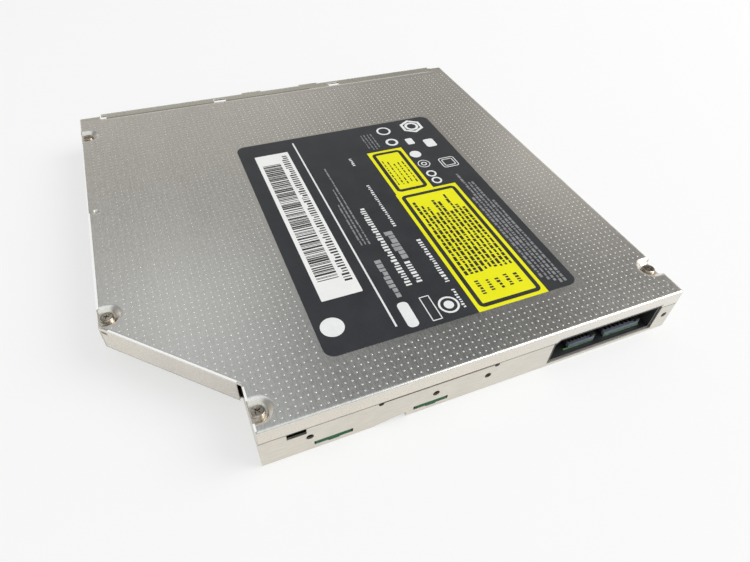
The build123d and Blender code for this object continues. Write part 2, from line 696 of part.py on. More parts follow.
def lift_frame():
    """Stamped frame that carries the traverse: pivots at its outer end, cam pins near the spindle."""
    lug_p = pivot_p - 2.2
    lug_q = pivot_lug_q - pivot_lug
    outline = polygon([(-21, -7.5), (-0.5, -28), (59, -28), (lug_p, -20.5), (lug_p, -lug_q), (69.4, -lug_q),
                       (69.4, lug_q), (lug_p, lug_q), (lug_p, 20.6), (55.2, 31.4), (-10, 31.4), (-21, 20.4)])
    window = polygon([(-16.5, -5.5), (1.5, -23), (58.0, -23), (64.9, -19.0), (64.9, -16.6), (66.4, -15.0),
                      (66.4, 15.0), (64.9, 16.6), (64.9, 19.6), (57.2, 27), (-8, 27), (-16.5, 18.5)])
    window = fillet(window.vertices(), 0.8)
    low = lift_plate_z
    high = low + lift_plate
    frame = slab(outline - window, low, high)
    for x, y in damper_places:
        frame -= disc(x, y, low - 1, high + 1, screw_shank_radius + running_gap)
    # Pivot arms drop to the pivot line and carry a pin each.
    for sign in (-1, 1):
        arm = block(pivot_p - 1.4, pivot_p + 1.4, 15.0, 16.0, pivot_z - 1.3, high)
        pin = Pos(pivot_p, 16.9, pivot_z) * Rot(90, 0, 0) * Cylinder(pivot_radius, 2.4)
        side = arm + pin
        frame += side if sign > 0 else mirror(side, about=Plane.XZ)
    # Lug and pin for the side slider, then for the cross slider.
    lug = block(28.3, 29.3, side_pin_y - 2.2, side_pin_y + 2.2, low, cam_pin_z + 1.2)
    lug += Pos((29.3 + slider_inner_x + cam_wall + 0.3) / 2, side_pin_y, cam_pin_z) * Rot(0, 90, 0) * Cylinder(
        cam_pin_radius, slider_inner_x + cam_wall + 0.3 - 29.3)
    lug += block(24.0, 29.3, side_pin_y - 2.2, side_pin_y + 2.2, low, high)
    lug2 = block(rear_pin_x - 2.2, rear_pin_x + 2.2, 18.9, 19.9, low, cam_pin_z + 1.2)
    lug2 += Pos(rear_pin_x, (19.9 + cross_wall_y + cam_wall + 0.3) / 2, cam_pin_z) * Rot(90, 0, 0) * Cylinder(
        cam_pin_radius, cross_wall_y + cam_wall + 0.3 - 19.9)
    lug2 += block(rear_pin_x - 2.2, rear_pin_x + 2.2, 16.0, 19.9, low, high)
    frame += heading.inverse() * (lug + lug2)
    return rest_place * frame


def traverse_frame():
    """Die-cast frame that floats on rubber and holds the spindle, rods and sled motor."""
    low = float_z
    high = low + float_plate
    outline = polygon([(-21, -5.2), (1.4, -27.6), (58.6, -27.6), (69.0, -17), (69.0, 16.4), (54.6, 31.2),
                       (-8.3, 31.2), (-21, 18.5)])
    bay = Pos(39, 0) * Rectangle(52, 2 * pickup_half_width + 1.8)
    screw_bay = Pos(29.1, screw_q) * Rectangle(57.0, 7.6)
    frame = slab(outline - bay - screw_bay - Circle(11.2), low, high)
    for x, y in damper_places:
        frame -= disc(x, y, low - 1, high + 1, 1.65)
    # Rod seats and the bearing lug of the lead screw.
    for sign in (-1, 1):
        q = sign * rod_q
        for p in (rod_inner_p, rod_outer_p - rod_holder):
            frame += block(p, p + rod_holder, q - 2.0, q + 2.0, low, rod_seat_top_z)
        frame -= Pos((rod_inner_p + rod_outer_p) / 2, q, rod_z) * Rot(0, 90, 0) * Cylinder(
            rod_radius + 0.02, rod_outer_p - rod_inner_p)
    frame += block(-1.4, 0.6, screw_q - 2.2, screw_q + 2.2, screw_z - 1.6, high)
    frame -= Pos(0.3, screw_q, screw_z) * Rot(0, 90, 0) * Cylinder(0.6 + running_gap, 3)
    # Bracket that the sled motor is clipped into.
    motor_side = screw_q + sled_motor_radius
    frame += block(sled_motor_p[0] + 1, sled_motor_p[1] - 1, motor_side + 0.1, motor_side + 2.1, low, high)
    return rest_place * frame


def dampers():
    """Rubber grommets between the two frames."""
    low = lift_plate_z + lift_plate
    rubber = []
    for x, y in damper_places:
        grommet = disc(x, y, low, float_z - 0.02, damper_radius)
        grommet += disc(x, y, low, float_z + float_plate + 0.6, 1.6)
        grommet += disc(x, y, float_z + float_plate + 0.02, float_z + float_plate + 0.6, damper_radius)
        rubber.append(rest_place * (grommet - disc(x, y, low - 1, 9, 0.9)))
    return rubber


def damper_screws():
    top = float_z + float_plate + 0.6
    screws = []
    for x, y in damper_places:
        head = disc(x, y, top, top + 0.45, 1.9)
        head -= Pos(x, y, top + 0.4) * (Box(1.9, 0.3, 0.4) + Box(0.3, 1.9, 0.4))
        screws.append(rest_place * (head + disc(x, y, lift_plate_z, top, screw_shank_radius)))
    return screws


def guide_rods():
    """Two ground steel rods, main and sub."""
    rods = []
    length = rod_outer_p - rod_inner_p
    for sign in (1, -1):
        rods.append(rest_place * (Pos(rod_inner_p + length / 2, sign * rod_q, rod_z) * Rot(0, 90, 0) * Cylinder(
            rod_radius, length)))
    return rods


def lead_screw():
    start = -1.2
    end = sled_motor_p[0] + 0.4
    screw = Pos((0.8 + end) / 2, screw_q, screw_z) * Rot(0, 90, 0) * Cylinder(screw_radius, end - 0.8)
    screw += Pos((start + 1.0) / 2, screw_q, screw_z) * Rot(0, 90, 0) * Cylinder(0.6, 1.0 - start)
    return rest_place * screw


def sled_motor():
    p0, p1 = sled_motor_p
    can = Pos((p0 + 0.8 + p1) / 2, screw_q, screw_z) * Rot(0, 90, 0) * Cylinder(sled_motor_radius, p1 - p0 - 0.8)
    can += Pos(p0 + 0.6, screw_q, screw_z) * Rot(0, 90, 0) * Cylinder(1.8, 0.4)
    can -= Pos(p0, screw_q, screw_z) * Rot(0, 90, 0) * Cylinder(screw_radius + 0.1, 2.0)
    return rest_place * can


def pickup_body():
    """Optical carriage: bushes on the main rod, a fork on the other, and the nut arm."""
    c = lens_start_p
    inner = c - pickup_inner
    outer = c + pickup_outer
    half = pickup_half_width
    outline = polygon([
        (inner, -half), (inner + 5.5, -half), (inner + 5.5, -half + 1.2), (outer, -half + 1.2), (outer, half),
        (inner, half),
    ]) - Pos(0, 0) * Circle(15.2)
    low = pickup_bottom_z
    body = slab(outline, low, pickup_top_z - 0.9)
    body += slab(Pos(c, 0) * RectangleRounded(15, 19, 1.5), low, pickup_top_z)
    for p0 in (inner, outer - 3.4):
        body += block(p0, p0 + 3.4, rod_q - 2.1, rod_q + 2.1, low, rod_seat_top_z)
    body += block(inner, inner + 5.5, -rod_q - 2.1, -rod_q + 2.1, low, rod_seat_top_z)
    # Passages for the rods: bored on the main side, an open fork on the other.
    body -= Pos(c, rod_q, rod_z) * Rot(0, 90, 0) * Cylinder(rod_radius + running_gap, 40)
    body -= block(inner + 3.5, outer - 3.5, rod_q - 1.6, rod_q + 1.6, rod_z - 1.6, 12)
    fork = rod_radius + 0.1
    body -= block(inner - 1, outer + 1, -rod_q - 3.5, -rod_q + 1.3, rod_z - fork, rod_z + fork)
    # Well for the lens actuator and weight-saving pockets underneath.
    body -= slab(Pos(c, 0) * RectangleRounded(12, 15.5, 1.0), low + 1.0, 12)
    body -= slab(Pos(c, -12.5) * Rectangle(10, 3.5), low - 1, low + 1.6)
    body -= slab(Pos(c, 11.8) * Rectangle(9, 3.0), low - 1, low + 1.6)
    # Arm towards the lead screw.
    q0 = pickup_half_width + 0.4
    q1 = screw_q - sled_motor_radius - 0.2
    arm = block(c - 17.0, inner + 1.0, q0, q1, screw_z - 1.4, screw_z + 1.4)
    arm += block(inner - 1.5, inner + 1.0, q0 - 1.2, q1, screw_z - 1.4, screw_z + 1.4)
    arm += block(c - 17.0, c - 12.5, q0, screw_q - screw_radius - 0.12, screw_z - 0.9, screw_z + 0.9)
    body += arm
    return rest_place * body


def actuator_cover():
    """Thin sheet over the lens actuator with a window for the lens."""
    c = lens_start_p
    face = Pos(c, 0) * RectangleRounded(14.6, 18.6, 1.4) - Pos(c, 0) * RectangleRounded(8.6, 12.6, 1.0)
    return rest_place * slab(face, pickup_top_z, pickup_top_z + 0.25)


def lens_holder():
    """Moving lens carrier on its suspension wires."""
    c = lens_start_p
    body = slab(Pos(c, 0) * RectangleRounded(6.8, 9.6, 0.8), pickup_top_z - 1.9, pickup_top_z + 0.5)
    body += disc(c, 0, pickup_top_z, lens_top_z - 0.25, lens_radius + 0.5)
    body -= disc(c, 0, 0, 20, lens_radius - 0.25)
    body -= disc(c, 0, lens_top_z - 0.75, 20, lens_radius + 0.03)
    return rest_place * body


def objective_lens():
    c = lens_start_p
    low = lens_top_z - 0.75
    profile = polygon([(0, low - 0.6), (lens_radius - 0.8, low - 0.4), (lens_radius - 0.3, low), (lens_radius, low),
                       (lens_radius, low + 0.35), (lens_radius - 0.7, low + 0.6), (0, low + 0.75)])
    return rest_place * (Pos(c, 0, 0) * revolve(Plane.XZ * profile, axis=Axis.Z))


def gear_face(teeth, turn=0.0):
    """Plan of a spur gear whose first tooth points along the given heading."""
    pitch_radius = teeth * gear_module / 2
    tip = pitch_radius + 0.9 * gear_module
    root = pitch_radius - 1.2 * gear_module
    thick = pi * gear_module / 2 - gear_backlash
    slope = tan(radians(20))
    half_tip = (thick / 2 - 0.9 * gear_module * slope) / tip
    half_root = (thick / 2 + 1.0 * gear_module * slope) / root
    points = []
    for i in range(teeth):
        middle = radians(turn) + 2 * pi * i / teeth
        for radius, side in ((root, -half_root), (tip, -half_tip), (tip, half_tip), (root, half_root)):
            points.append((radius * cos(middle + side), radius * sin(middle + side)))
    return polygon(points)


def relay_gear():
    """Rack pinion below, wheel above, one moulding on a fixed stud."""
    pinion = slab(gear_face(pinion_teeth, 0), rack_tier[0], rack_tier[1])
    sleeve = slab(Circle(1.9), rack_tier[1], relay_tier[0])
    wheel = slab(gear_face(wheel_teeth, mesh_heading), relay_tier[0], relay_tier[1])
    gear = pinion + sleeve + wheel - disc(0, 0, 0, 10, gear_stud_radius + running_gap)
    return Pos(pinion_x, pinion_y, 0) * gear


def worm_gear():
    """Worm wheel below, small gear above."""
    small_turn = mesh_heading - 180 + 180 / pinion_teeth
    wheel = slab(gear_face(wheel_teeth, -90 + 180 / wheel_teeth), worm_tier[0], worm_tier[1])
    small = slab(gear_face(pinion_teeth, small_turn), worm_tier[1], relay_tier[1])
    foot = slab(Circle(1.9), rack_tier[0], worm_tier[0])
    gear = wheel + small + foot - disc(0, 0, 0, 10, gear_stud_radius + running_gap)
    return Pos(worm_gear_x, worm_gear_y, 0) * gear


def worm():
    """Worm and motor shaft, running along X."""
    def rod(x0, x1, radius):
        return Pos((x0 + x1) / 2, worm_y, worm_z) * Rot(0, 90, 0) * Cylinder(radius, x1 - x0)
    shaft = rod(motor_right_x - 1, worm_gear_x + 6.4, 0.5)
    return rod(worm_gear_x - 4.6, worm_gear_x + 4.6, worm_radius - 0.7) + shaft


def loading_motor():
    """Flat-sided brushed motor."""
    face = Pos(worm_y, worm_z) * Circle(motor_half_width) & Pos(worm_y, worm_z) * Rectangle(
        2 * motor_half_width, 2 * (worm_z - chassis_sheet - 0.05))
    can = extrude(Plane.YZ.offset(motor_right_x - motor_length) * face, amount=motor_length)
    can += Pos(motor_right_x + 0.4, worm_y, worm_z) * Rot(0, 90, 0) * Cylinder(1.6, 0.8)
    can -= Pos(motor_right_x, worm_y, worm_z) * Rot(0, 90, 0) * Cylinder(0.5 + running_gap, 6)
    return can


def motor_bracket():
    """Plastic cradle that locates the motor and the far end of the worm."""
    x0 = motor_right_x - motor_length + 1
    x1 = worm_gear_x + 6.8
    base = block(x0, motor_right_x + 0.8, worm_y - motor_half_width - 1.4, worm_y - motor_half_width - 0.1,
                 chassis_sheet, worm_z + 1.2)
    base += block(x0, x1, worm_y - motor_half_width - 1.4, worm_y - motor_half_width + 0.6, chassis_sheet, 1.2)
    base -= Pos((x0 + motor_right_x) / 2, worm_y, worm_z) * Rot(0, 90, 0) * Cylinder(motor_half_width + 0.1, 40)
    far = block(x1 - 1.6, x1, worm_y - motor_half_width - 1.4, worm_y + 1.6, chassis_sheet, worm_z + 1.6)
    far -= Pos(x1, worm_y, worm_z) * Rot(0, 90, 0) * Cylinder(0.5 + running_gap, 6)
    return base + far


def studs(places, radius, foot_z, top_z):
    """Steel studs riveted into the floor, with a shoulder and a head."""
    pins = []
    for x, y in places:
        pin = disc(x, y, foot_z, top_z, radius)
        pins.append(pin + disc(x, y, top_z - 0.3, top_z, radius + 0.7))
    return pins


def gear_studs():
    top = relay_tier[1] + 0.45
    return studs(((pinion_x, pinion_y), (worm_gear_x, worm_gear_y)), gear_stud_radius, chassis_sheet, top)


def cam_slider():
    """Side slider: rack, cam wall with the sloping slot, and the crank pin."""
    low, high = rack_tier
    tail_y = crank_y - slide_travel / 2 + 3.5
    bar_face = polygon([
        (slider_inner_x, slider_front_y), (slider_outer_x, slider_front_y), (slider_outer_x, tail_y),
        (slider_inner_x + 0.9, tail_y), (slider_inner_x + 0.9, 14), (slider_inner_x, 12),
    ])
    rack = []
    pitch_x = pinion_x + pinion_pitch_radius
    thick = rack_pitch / 2 - gear_backlash
    slope = tan(radians(20))
    half_tip = thick / 2 - 0.9 * gear_module * slope
    half_root = thick / 2 + 1.2 * gear_module * slope
    for i in range(-11, 3):
        y = pinion_y + (i + 0.5) * rack_pitch
        rack.append(polygon([
            (slider_inner_x + 0.1, y - half_root), (slider_inner_x + 0.1, y + half_root),
            (pitch_x - 0.9 * gear_module, y + half_tip), (pitch_x - 0.9 * gear_module, y - half_tip),
        ]))
    face = bar_face
    for tooth in rack:
        face += tooth
    slider = slab(face, low, high)
    slider -= block(slider_inner_x - 1, pitch_x + 1.2 * gear_module, pinion_y - 11.2 * rack_pitch - 2,
                    pinion_y + 3 * rack_pitch, high, high + 1)
    wall = block(slider_inner_x, slider_inner_x + cam_wall, side_pin_y - slide_travel - 3.2, side_pin_y + 3.6,
                 low, cam_wall_top_z)
    slider += wall
    drop = (pivot_p - to_p(31.5, side_pin_y)) * sin(radians(tilt))
    start = (side_pin_y, cam_pin_z - drop)
    end = (side_pin_y - slide_travel, cam_pin_z)
    slot = bar(start, end, cam_pin_radius + cam_pin_gap)
    slider -= extrude(Plane.YZ.offset(slider_inner_x - 1) * slot, amount=cam_wall + 2)
    # Guide slots that run on shoulder rivets, and the upright crank pin.
    for y in (-20.0, 10.0):
        slider -= slab(bar((36.4, y - slide_travel), (36.4, y), 1.0), low - 1, high + 1)
    slider += disc(crank_x + crank_arm, crank_y - slide_travel / 2, high, crank_z + crank_thickness + 0.5, 0.8)
    return slider


def cross_slider():
    """Slider across the rear of the traverse, driven by the crank."""
    low, high = rack_tier
    wall_x0 = rear_pin_x - slide_travel - 3.2
    end_x = crank_x - slide_travel / 2 + 2.0
    y0 = cross_wall_y
    slider = block(wall_x0, end_x, y0, y0 + 4.6, low, high)
    slider += block(wall_x0, rear_pin_x + 3.6, y0, y0 + cam_wall, low, cam_wall_top_z)
    drop = (pivot_p - to_p(rear_pin_x, cross_wall_y)) * sin(radians(tilt))
    start = (rear_pin_x, cam_pin_z - drop)
    end = (rear_pin_x - slide_travel, cam_pin_z)
    slot = bar(start, end, cam_pin_radius + cam_pin_gap)
    slider -= extrude(Plane.XZ.offset(-y0 - cam_wall - 1) * slot, amount=cam_wall + 2)
    slider += disc(crank_x - slide_travel / 2, crank_y - crank_arm, high, crank_z + crank_thickness + 0.5, 0.8)
    return slider


def crank():
    """Right-angle crank that joins the two sliders."""
    # Both arms end in open forks, short enough to clear the deck's side wall in mid swing.
    face = Circle(2.6)
    for turn in (-crank_swing, -90 - crank_swing):
        face += Rot(0, 0, turn) * bar((0, 0), (crank_arm + 0.9, 0), 2.1)
    for turn in (-crank_swing, -90 - crank_swing):
        face -= Rot(0, 0, turn) * bar((crank_arm - 0.5, 0), (crank_arm + 6, 0), 1.1)
    body = slab(face, crank_z, crank_z + crank_thickness)
    body += slab(Circle(1.9), board_bottom_z - 0.4, crank_z)
    body -= disc(0, 0, 0, 10, gear_stud_radius + running_gap)
    return Pos(crank_x, crank_y, 0) * body


def crank_stud():
    return studs(((crank_x, crank_y),), gear_stud_radius, chassis_sheet, crank_z + crank_thickness + 0.45)


def lever(pivot, tip, half):
    """Flat arm with a hub at its pivot and a round eye at its tip."""
    arm = bar(pivot, tip, half)
    face = arm + Pos(*pivot) * Circle(2.7) + Pos(*tip) * Circle(peg_radius + 0.3)
    body = slab(face, lever_z, lever_z + lever_thickness)
    return body - disc(*pivot, 0, 20, lever_stud_radius + running_gap)


def peg(tip):
    """Plastic peg that touches the disc's edge, waisted in the middle."""
    low = lever_z + lever_thickness
    profile = polygon([(0, low), (peg_radius, low), (peg_radius, low + 0.5), (peg_radius - 0.5, low + 1.2),
                       (peg_radius - 0.5, peg_top_z - 1.2), (peg_radius, peg_top_z - 0.5), (peg_radius, peg_top_z),
                       (0, peg_top_z)])
    return Pos(tip[0], tip[1], 0) * revolve(Plane.XZ * profile, axis=Axis.Z)


def lever_studs():
    """Shouldered posts: two from the deck floor, one from the wing floor."""
    posts = []
    for (x, y), foot in ((eject_pivot, chassis_sheet), (guide_pivot, chassis_sheet), (loading_pivot, wing_floor)):
        post = disc(x, y, foot, lever_z + lever_thickness + 0.3, lever_stud_radius)
        post += disc(x, y, foot, lever_z - 0.05, 1.9)
        post += disc(x, y, lever_z + lever_thickness + 0.05, lever_z + lever_thickness + 0.4, 1.7)
        posts.append(post)
    return posts


nodes = {
    "top_cover": top_cover(),
    "bottom_chassis": bottom_chassis(),
    "cover_screws": cover_screws(),
    "top_label": label(),
    "barcode_sticker": sticker(),
    "slot_guides": slot_guides(),
    "slot_pad_upper": slot_pads()[0],
    "slot_pad_lower": slot_pads()[1],
    "front_ledge": pad_ledge(),
    "interface_socket": socket_housing(),
    "socket_contacts": socket_contacts(),
    "main_board": main_board(),
    "board_chips": board_chips(),
    "flex_sockets": flex_sockets(),
    "lift_frame": lift_frame(),
    "traverse_frame": traverse_frame(),
    "rubber_dampers": dampers(),
    "damper_screws": damper_screws(),
    "spindle_base": spindle_base(),
    "turntable": turntable(),
    "turntable_ring": table_ring(),
    "guide_rod_main": guide_rods()[0],
    "guide_rod_sub": guide_rods()[1],
    "lead_screw": lead_screw(),
    "sled_motor": sled_motor(),
    "pickup_body": pickup_body(),
    "actuator_cover": actuator_cover(),
    "lens_holder": lens_holder(),
    "objective_lens": objective_lens(),
    "loading_motor": loading_motor(),
    "motor_bracket": motor_bracket(),
    "loading_worm": worm(),
    "worm_gear": worm_gear(),
    "relay_gear": relay_gear(),
    "gear_studs": gear_studs(),
    "cam_slider": cam_slider(),
    "cross_slider": cross_slider(),
    "slider_crank": crank(),
    "crank_stud": crank_stud(),
    "eject_lever": lever(eject_pivot, eject_tip, 1.9),
    "eject_peg": peg(eject_tip),
    "guide_lever": lever(guide_pivot, guide_tip, 1.7),
    "guide_peg": peg(guide_tip),
    "loading_lever": lever(loading_pivot, loading_tip, 1.9),
    "loading_peg": peg(loading_tip),
    "lever_studs": lever_studs(),
}

os.makedirs("parts", exist_ok=True)
for name, shape in nodes.items():
    if isinstance(shape, (list, tuple)):
        shape = Compound(children=[piece if isinstance(piece, Solid) else piece.solid() for piece in shape])
    shape.label = name
    export_step(shape, f"parts/{name}.step")
    print(name, len(shape.solids()), round(sum(s.volume for s in shape.solids()), 1))
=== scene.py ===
import json
import math
import random

import bpy
from mathutils import Matrix, Vector


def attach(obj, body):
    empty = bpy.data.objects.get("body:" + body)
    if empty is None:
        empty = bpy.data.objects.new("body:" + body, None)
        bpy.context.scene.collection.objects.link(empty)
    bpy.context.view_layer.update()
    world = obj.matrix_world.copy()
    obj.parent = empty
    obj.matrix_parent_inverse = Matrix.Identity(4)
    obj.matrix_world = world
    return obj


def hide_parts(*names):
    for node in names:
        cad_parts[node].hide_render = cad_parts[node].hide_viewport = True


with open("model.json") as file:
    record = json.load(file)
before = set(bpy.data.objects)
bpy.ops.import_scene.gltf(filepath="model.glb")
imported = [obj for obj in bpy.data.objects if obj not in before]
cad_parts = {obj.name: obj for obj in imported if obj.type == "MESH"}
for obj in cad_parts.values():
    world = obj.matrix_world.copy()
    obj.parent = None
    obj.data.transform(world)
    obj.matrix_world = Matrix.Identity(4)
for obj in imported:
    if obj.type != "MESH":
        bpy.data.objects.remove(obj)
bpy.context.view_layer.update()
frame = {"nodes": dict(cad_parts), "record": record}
nodes = frame["nodes"]
# lengths in the settings are millimetres, and the studio's floor and lamp are given in metres
mm = 0.001
random.seed(27)
print("frame loaded", len(nodes), "nodes")


def clearSelection():
    if bpy.context.mode != "OBJECT":
        bpy.ops.object.mode_set(mode="OBJECT")
    bpy.ops.object.select_all(action="DESELECT")


def pickOnly(piece):
    clearSelection()
    piece.select_set(True)
    bpy.context.view_layer.objects.active = piece


def nameNew(name):
    piece = bpy.context.active_object
    piece.name = name
    piece.data.name = name
    return piece


def settle(piece):
    # place, turn and size go into the mesh
    pickOnly(piece)
    bpy.ops.object.transform_apply(location=True, rotation=True, scale=True)


def applyModifiers(piece):
    pickOnly(piece)
    for modifier in list(piece.modifiers):
        bpy.ops.object.modifier_apply(modifier=modifier.name)


def copyPiece(piece, name, place):
    twin = piece.copy()
    twin.data = piece.data.copy()
    twin.name = name
    twin.data.name = name
    twin.data.transform(place)
    bpy.context.scene.collection.objects.link(twin)
    return twin


def joinPieces(name, pieces):
    clearSelection()
    for piece in pieces:
        piece.select_set(True)
    bpy.context.view_layer.objects.active = pieces[0]
    bpy.ops.object.join()
    return nameNew(name)


def selectFaces(piece, wanted):
    # picks the faces of the piece by a test on their normal and goes on in edit mode
    bpy.ops.object.mode_set(mode="OBJECT")
    for polygon in piece.data.polygons:
        polygon.select = wanted(polygon.normal)
    for edge in piece.data.edges:
        edge.select = False
    for vertex in piece.data.vertices:
        vertex.select = False
    bpy.ops.object.mode_set(mode="EDIT")
    bpy.ops.mesh.select_mode(type="FACE")


# Finishes

toneStops = (0.34, 0.66)
broadDetail = 3.0
roundingSamples = 8


def startFinish(name, settings):
    finish = bpy.data.materials.new(name)
    finish.use_nodes = True
    tree = finish.node_tree
    shader = tree.nodes["Principled BSDF"]
    shader.inputs["Metallic"].default_value = settings.get("metal", 0.0)
    shader.inputs["Specular IOR Level"].default_value = settings.get("gloss", 0.5)
    return finish, tree, shader


def addGrain(tree, scale, stretch=(1, 1, 1), detail=4.0):
    coords = tree.nodes.new("ShaderNodeTexCoord")
    mapping = tree.nodes.new("ShaderNodeMapping")
    mapping.inputs["Scale"].default_value = stretch
    grain = tree.nodes.new("ShaderNodeTexNoise")
    grain.inputs["Scale"].default_value = scale
    grain.inputs["Detail"].default_value = detail
    tree.links.new(coords.outputs["Object"], mapping.inputs["Vector"])
    tree.links.new(mapping.outputs["Vector"], grain.inputs["Vector"])
    return grain.outputs["Fac"]


def addSpread(tree, source, low, high, start=0.3, stop=0.7):
    # maps start to stop of the source, the usual reach of grain unless given, to low to high
    spread = tree.nodes.new("ShaderNodeMapRange")
    spread.inputs["From Min"].default_value = start
    spread.inputs["From Max"].default_value = stop
    spread.inputs["To Min"].default_value = low
    spread.inputs["To Max"].default_value = high
    tree.links.new(source, spread.inputs["Value"])
    return spread.outputs["Result"]


def addTones(tree, source, tones):
    ramp = tree.nodes.new("ShaderNodeValToRGB")
    while len(ramp.color_ramp.elements) < len(tones):
        ramp.color_ramp.elements.new(0.5)
    for element, (place, tone) in zip(ramp.color_ramp.elements, tones):
        element.position = place
        element.color = (*tone, 1)
    tree.links.new(source, ramp.inputs["Fac"])
    return ramp.outputs["Color"]


def addSum(tree, first, second, share):
    blend = tree.nodes.new("ShaderNodeMix")
    blend.inputs["Factor"].default_value = share
    tree.links.new(first, blend.inputs["A"])
    tree.links.new(second, blend.inputs["B"])
    return blend.outputs["Result"]


def addMath(tree, operation, first, second):
    # the second input is a socket or a plain value
    result = tree.nodes.new("ShaderNodeMath")
    result.operation = operation
    tree.links.new(first, result.inputs[0])
    if isinstance(second, (int, float)):
        result.inputs[1].default_value = second
    else:
        tree.links.new(second, result.inputs[1])
    return result.outputs[0]


def addFilter(tree, tone, share):
    # multiplies a tone by the colour that the caller puts in B; the share is a socket or a plain value
    mix = tree.nodes.new("ShaderNodeMix")
    mix.data_type = "RGBA"
    mix.blend_type = "MULTIPLY"
    tree.links.new(tone, mix.inputs["A"])
    if isinstance(share, (int, float)):
        mix.inputs["Factor"].default_value = share
    else:
        tree.links.new(share, mix.inputs["Factor"])
    return mix


def addZone(tree, box, soft):
    # 1 inside a box in the part's own space, falling to 0 over the soft width past each of its sides
    coords = tree.nodes.new("ShaderNodeTexCoord")
    split = tree.nodes.new("ShaderNodeSeparateXYZ")
    tree.links.new(coords.outputs["Object"], split.inputs["Vector"])
    inside = None
    for axis, (low, high) in box.items():
        for start, stop in ((low - soft[axis], low), (high + soft[axis], high)):
            side = addSpread(tree, split.outputs[axis], 0, 1, start * mm, stop * mm)
            inside = side if inside is None else addMath(tree, "MULTIPLY", inside, side)
    return inside


def addTint(tree, tone, zone):
    mix = addFilter(tree, tone, addZone(tree, zone["box"], zone["soft"]))
    mix.inputs["B"].default_value = (*zone["tint"], 1)
    return mix.outputs["Result"]


def addBump(tree, shader, height, strength, depth, rounding=0):
    # with a rounding, sharp edges shine as if they were rounded
    bump = tree.nodes.new("ShaderNodeBump")
    if rounding:
        edge = tree.nodes.new("ShaderNodeBevel")
        edge.samples = roundingSamples
        edge.inputs["Radius"].default_value = rounding * mm
        tree.links.new(edge.outputs["Normal"], bump.inputs["Normal"])
    bump.inputs["Strength"].default_value = strength
    bump.inputs["Distance"].default_value = depth * mm
    tree.links.new(height, bump.inputs["Height"])
    tree.links.new(bump.outputs["Normal"], shader.inputs["Normal"])


def makeFinish(name, settings):
    # two sizes of grain drive the tone, the roughness and the relief
    finish, tree, shader = startFinish(name, settings)
    fine = addGrain(tree, settings["fine"], settings.get("stretch", (1, 1, 1)))
    broad = addGrain(tree, settings["broad"], settings.get("broadStretch", (1, 1, 1)), broadDetail)
    both = addSum(tree, fine, broad, settings.get("clouds", 0.5))
    tones = addTones(tree, both, tuple(zip(toneStops, (settings["dark"], settings["light"]))))
    for zone in settings.get("zones", ()):
        tones = addTint(tree, tones, zone)
    rough = addSpread(tree, both, *settings["roughness"])
    tree.links.new(tones, shader.inputs["Base Color"])
    tree.links.new(rough, shader.inputs["Roughness"])
    addBump(tree, shader, fine, settings["bump"], settings["depth"], settings.get("rounding", 0))
    shader.inputs["Sheen Weight"].default_value = settings.get("sheen", 0.0)
    return finish


def makeZone(tint, soft, **box):
    # one softness for all the axes, or one for each
    widths = soft if isinstance(soft, dict) else dict.fromkeys(box, soft)
    return {"box": box, "soft": widths, "tint": tint}


# the cover's flanges are warmer than its top, a painted reflection of the warm floor, and paler toward the
# socket and darker by the step;
# painted shade darkens their lower edge along the seam with the rear wall, more in its middle; the lip is
# darkened by painted shade, with a line of painted shade along its crease
coverTintAndShadeZones = (
    # painted reflection: the flanges are warmed for the warm floor that they reflect
    makeZone((0.95, 0.918, 0.865), 0.25, Z=(-1, 12.15)),
    makeZone((1.08, 1.11, 1.15), {"X": 16, "Y": 0.1, "Z": 0.25}, X=(-80, -30), Y=(64.2, 65), Z=(-1, 12.15)),
    makeZone((0.9, 0.91, 0.93), {"X": 8, "Y": 8, "Z": 0.25}, X=(38, 52), Y=(40, 54), Z=(-1, 12.15)),
    # painted shade: a dark line along the flange's lower edge at the seam with the rear wall, darker still in
    # its middle
    makeZone((0.4, 0.38, 0.36), 0.05, X=(-65, 40), Y=(64.2, 65), Z=(8.4, 8.74)),
    makeZone((0.35, 0.34, 0.33), 0.05, X=(-12.5, 14.4), Y=(64.2, 65), Z=(8.4, 8.74)),
    # painted shade: the lip band is darkened for its darker reflection, and its crease more, a line of
    # painted shade along the step
    makeZone((0.92, 0.925, 0.88), 0.15, Y=(-66, -60.5), Z=(12.2, 13)),
    makeZone((0.62, 0.63, 0.62), 0.2, X=(-11, 57.5), Y=(-61.1, -60.4), Z=(12.2, 13)),
)
# the rear wall is slightly warmer toward the wing
wallZones = (makeZone((1.0, 0.985, 0.97), {"X": 25, "Y": 0.2}, X=(0, 80), Y=(63, 66)),)
# painted shade: the raised dots are darkened at the far left, where they catch less light, so they hardly
# show there
dotShadeZones = (makeZone((0.76, 0.75, 0.74), {"X": 26, "Y": 22}, X=(26, 80), Y=(-80, 4)),)
# painted shade: the gold contact blades are darkened on the tongues, for the shade inside the socket
bladeShadeZones = (makeZone((0.2, 0.18, 0.16), 0.05, Y=(54, 62.9), Z=(3.5, 4.2)),)
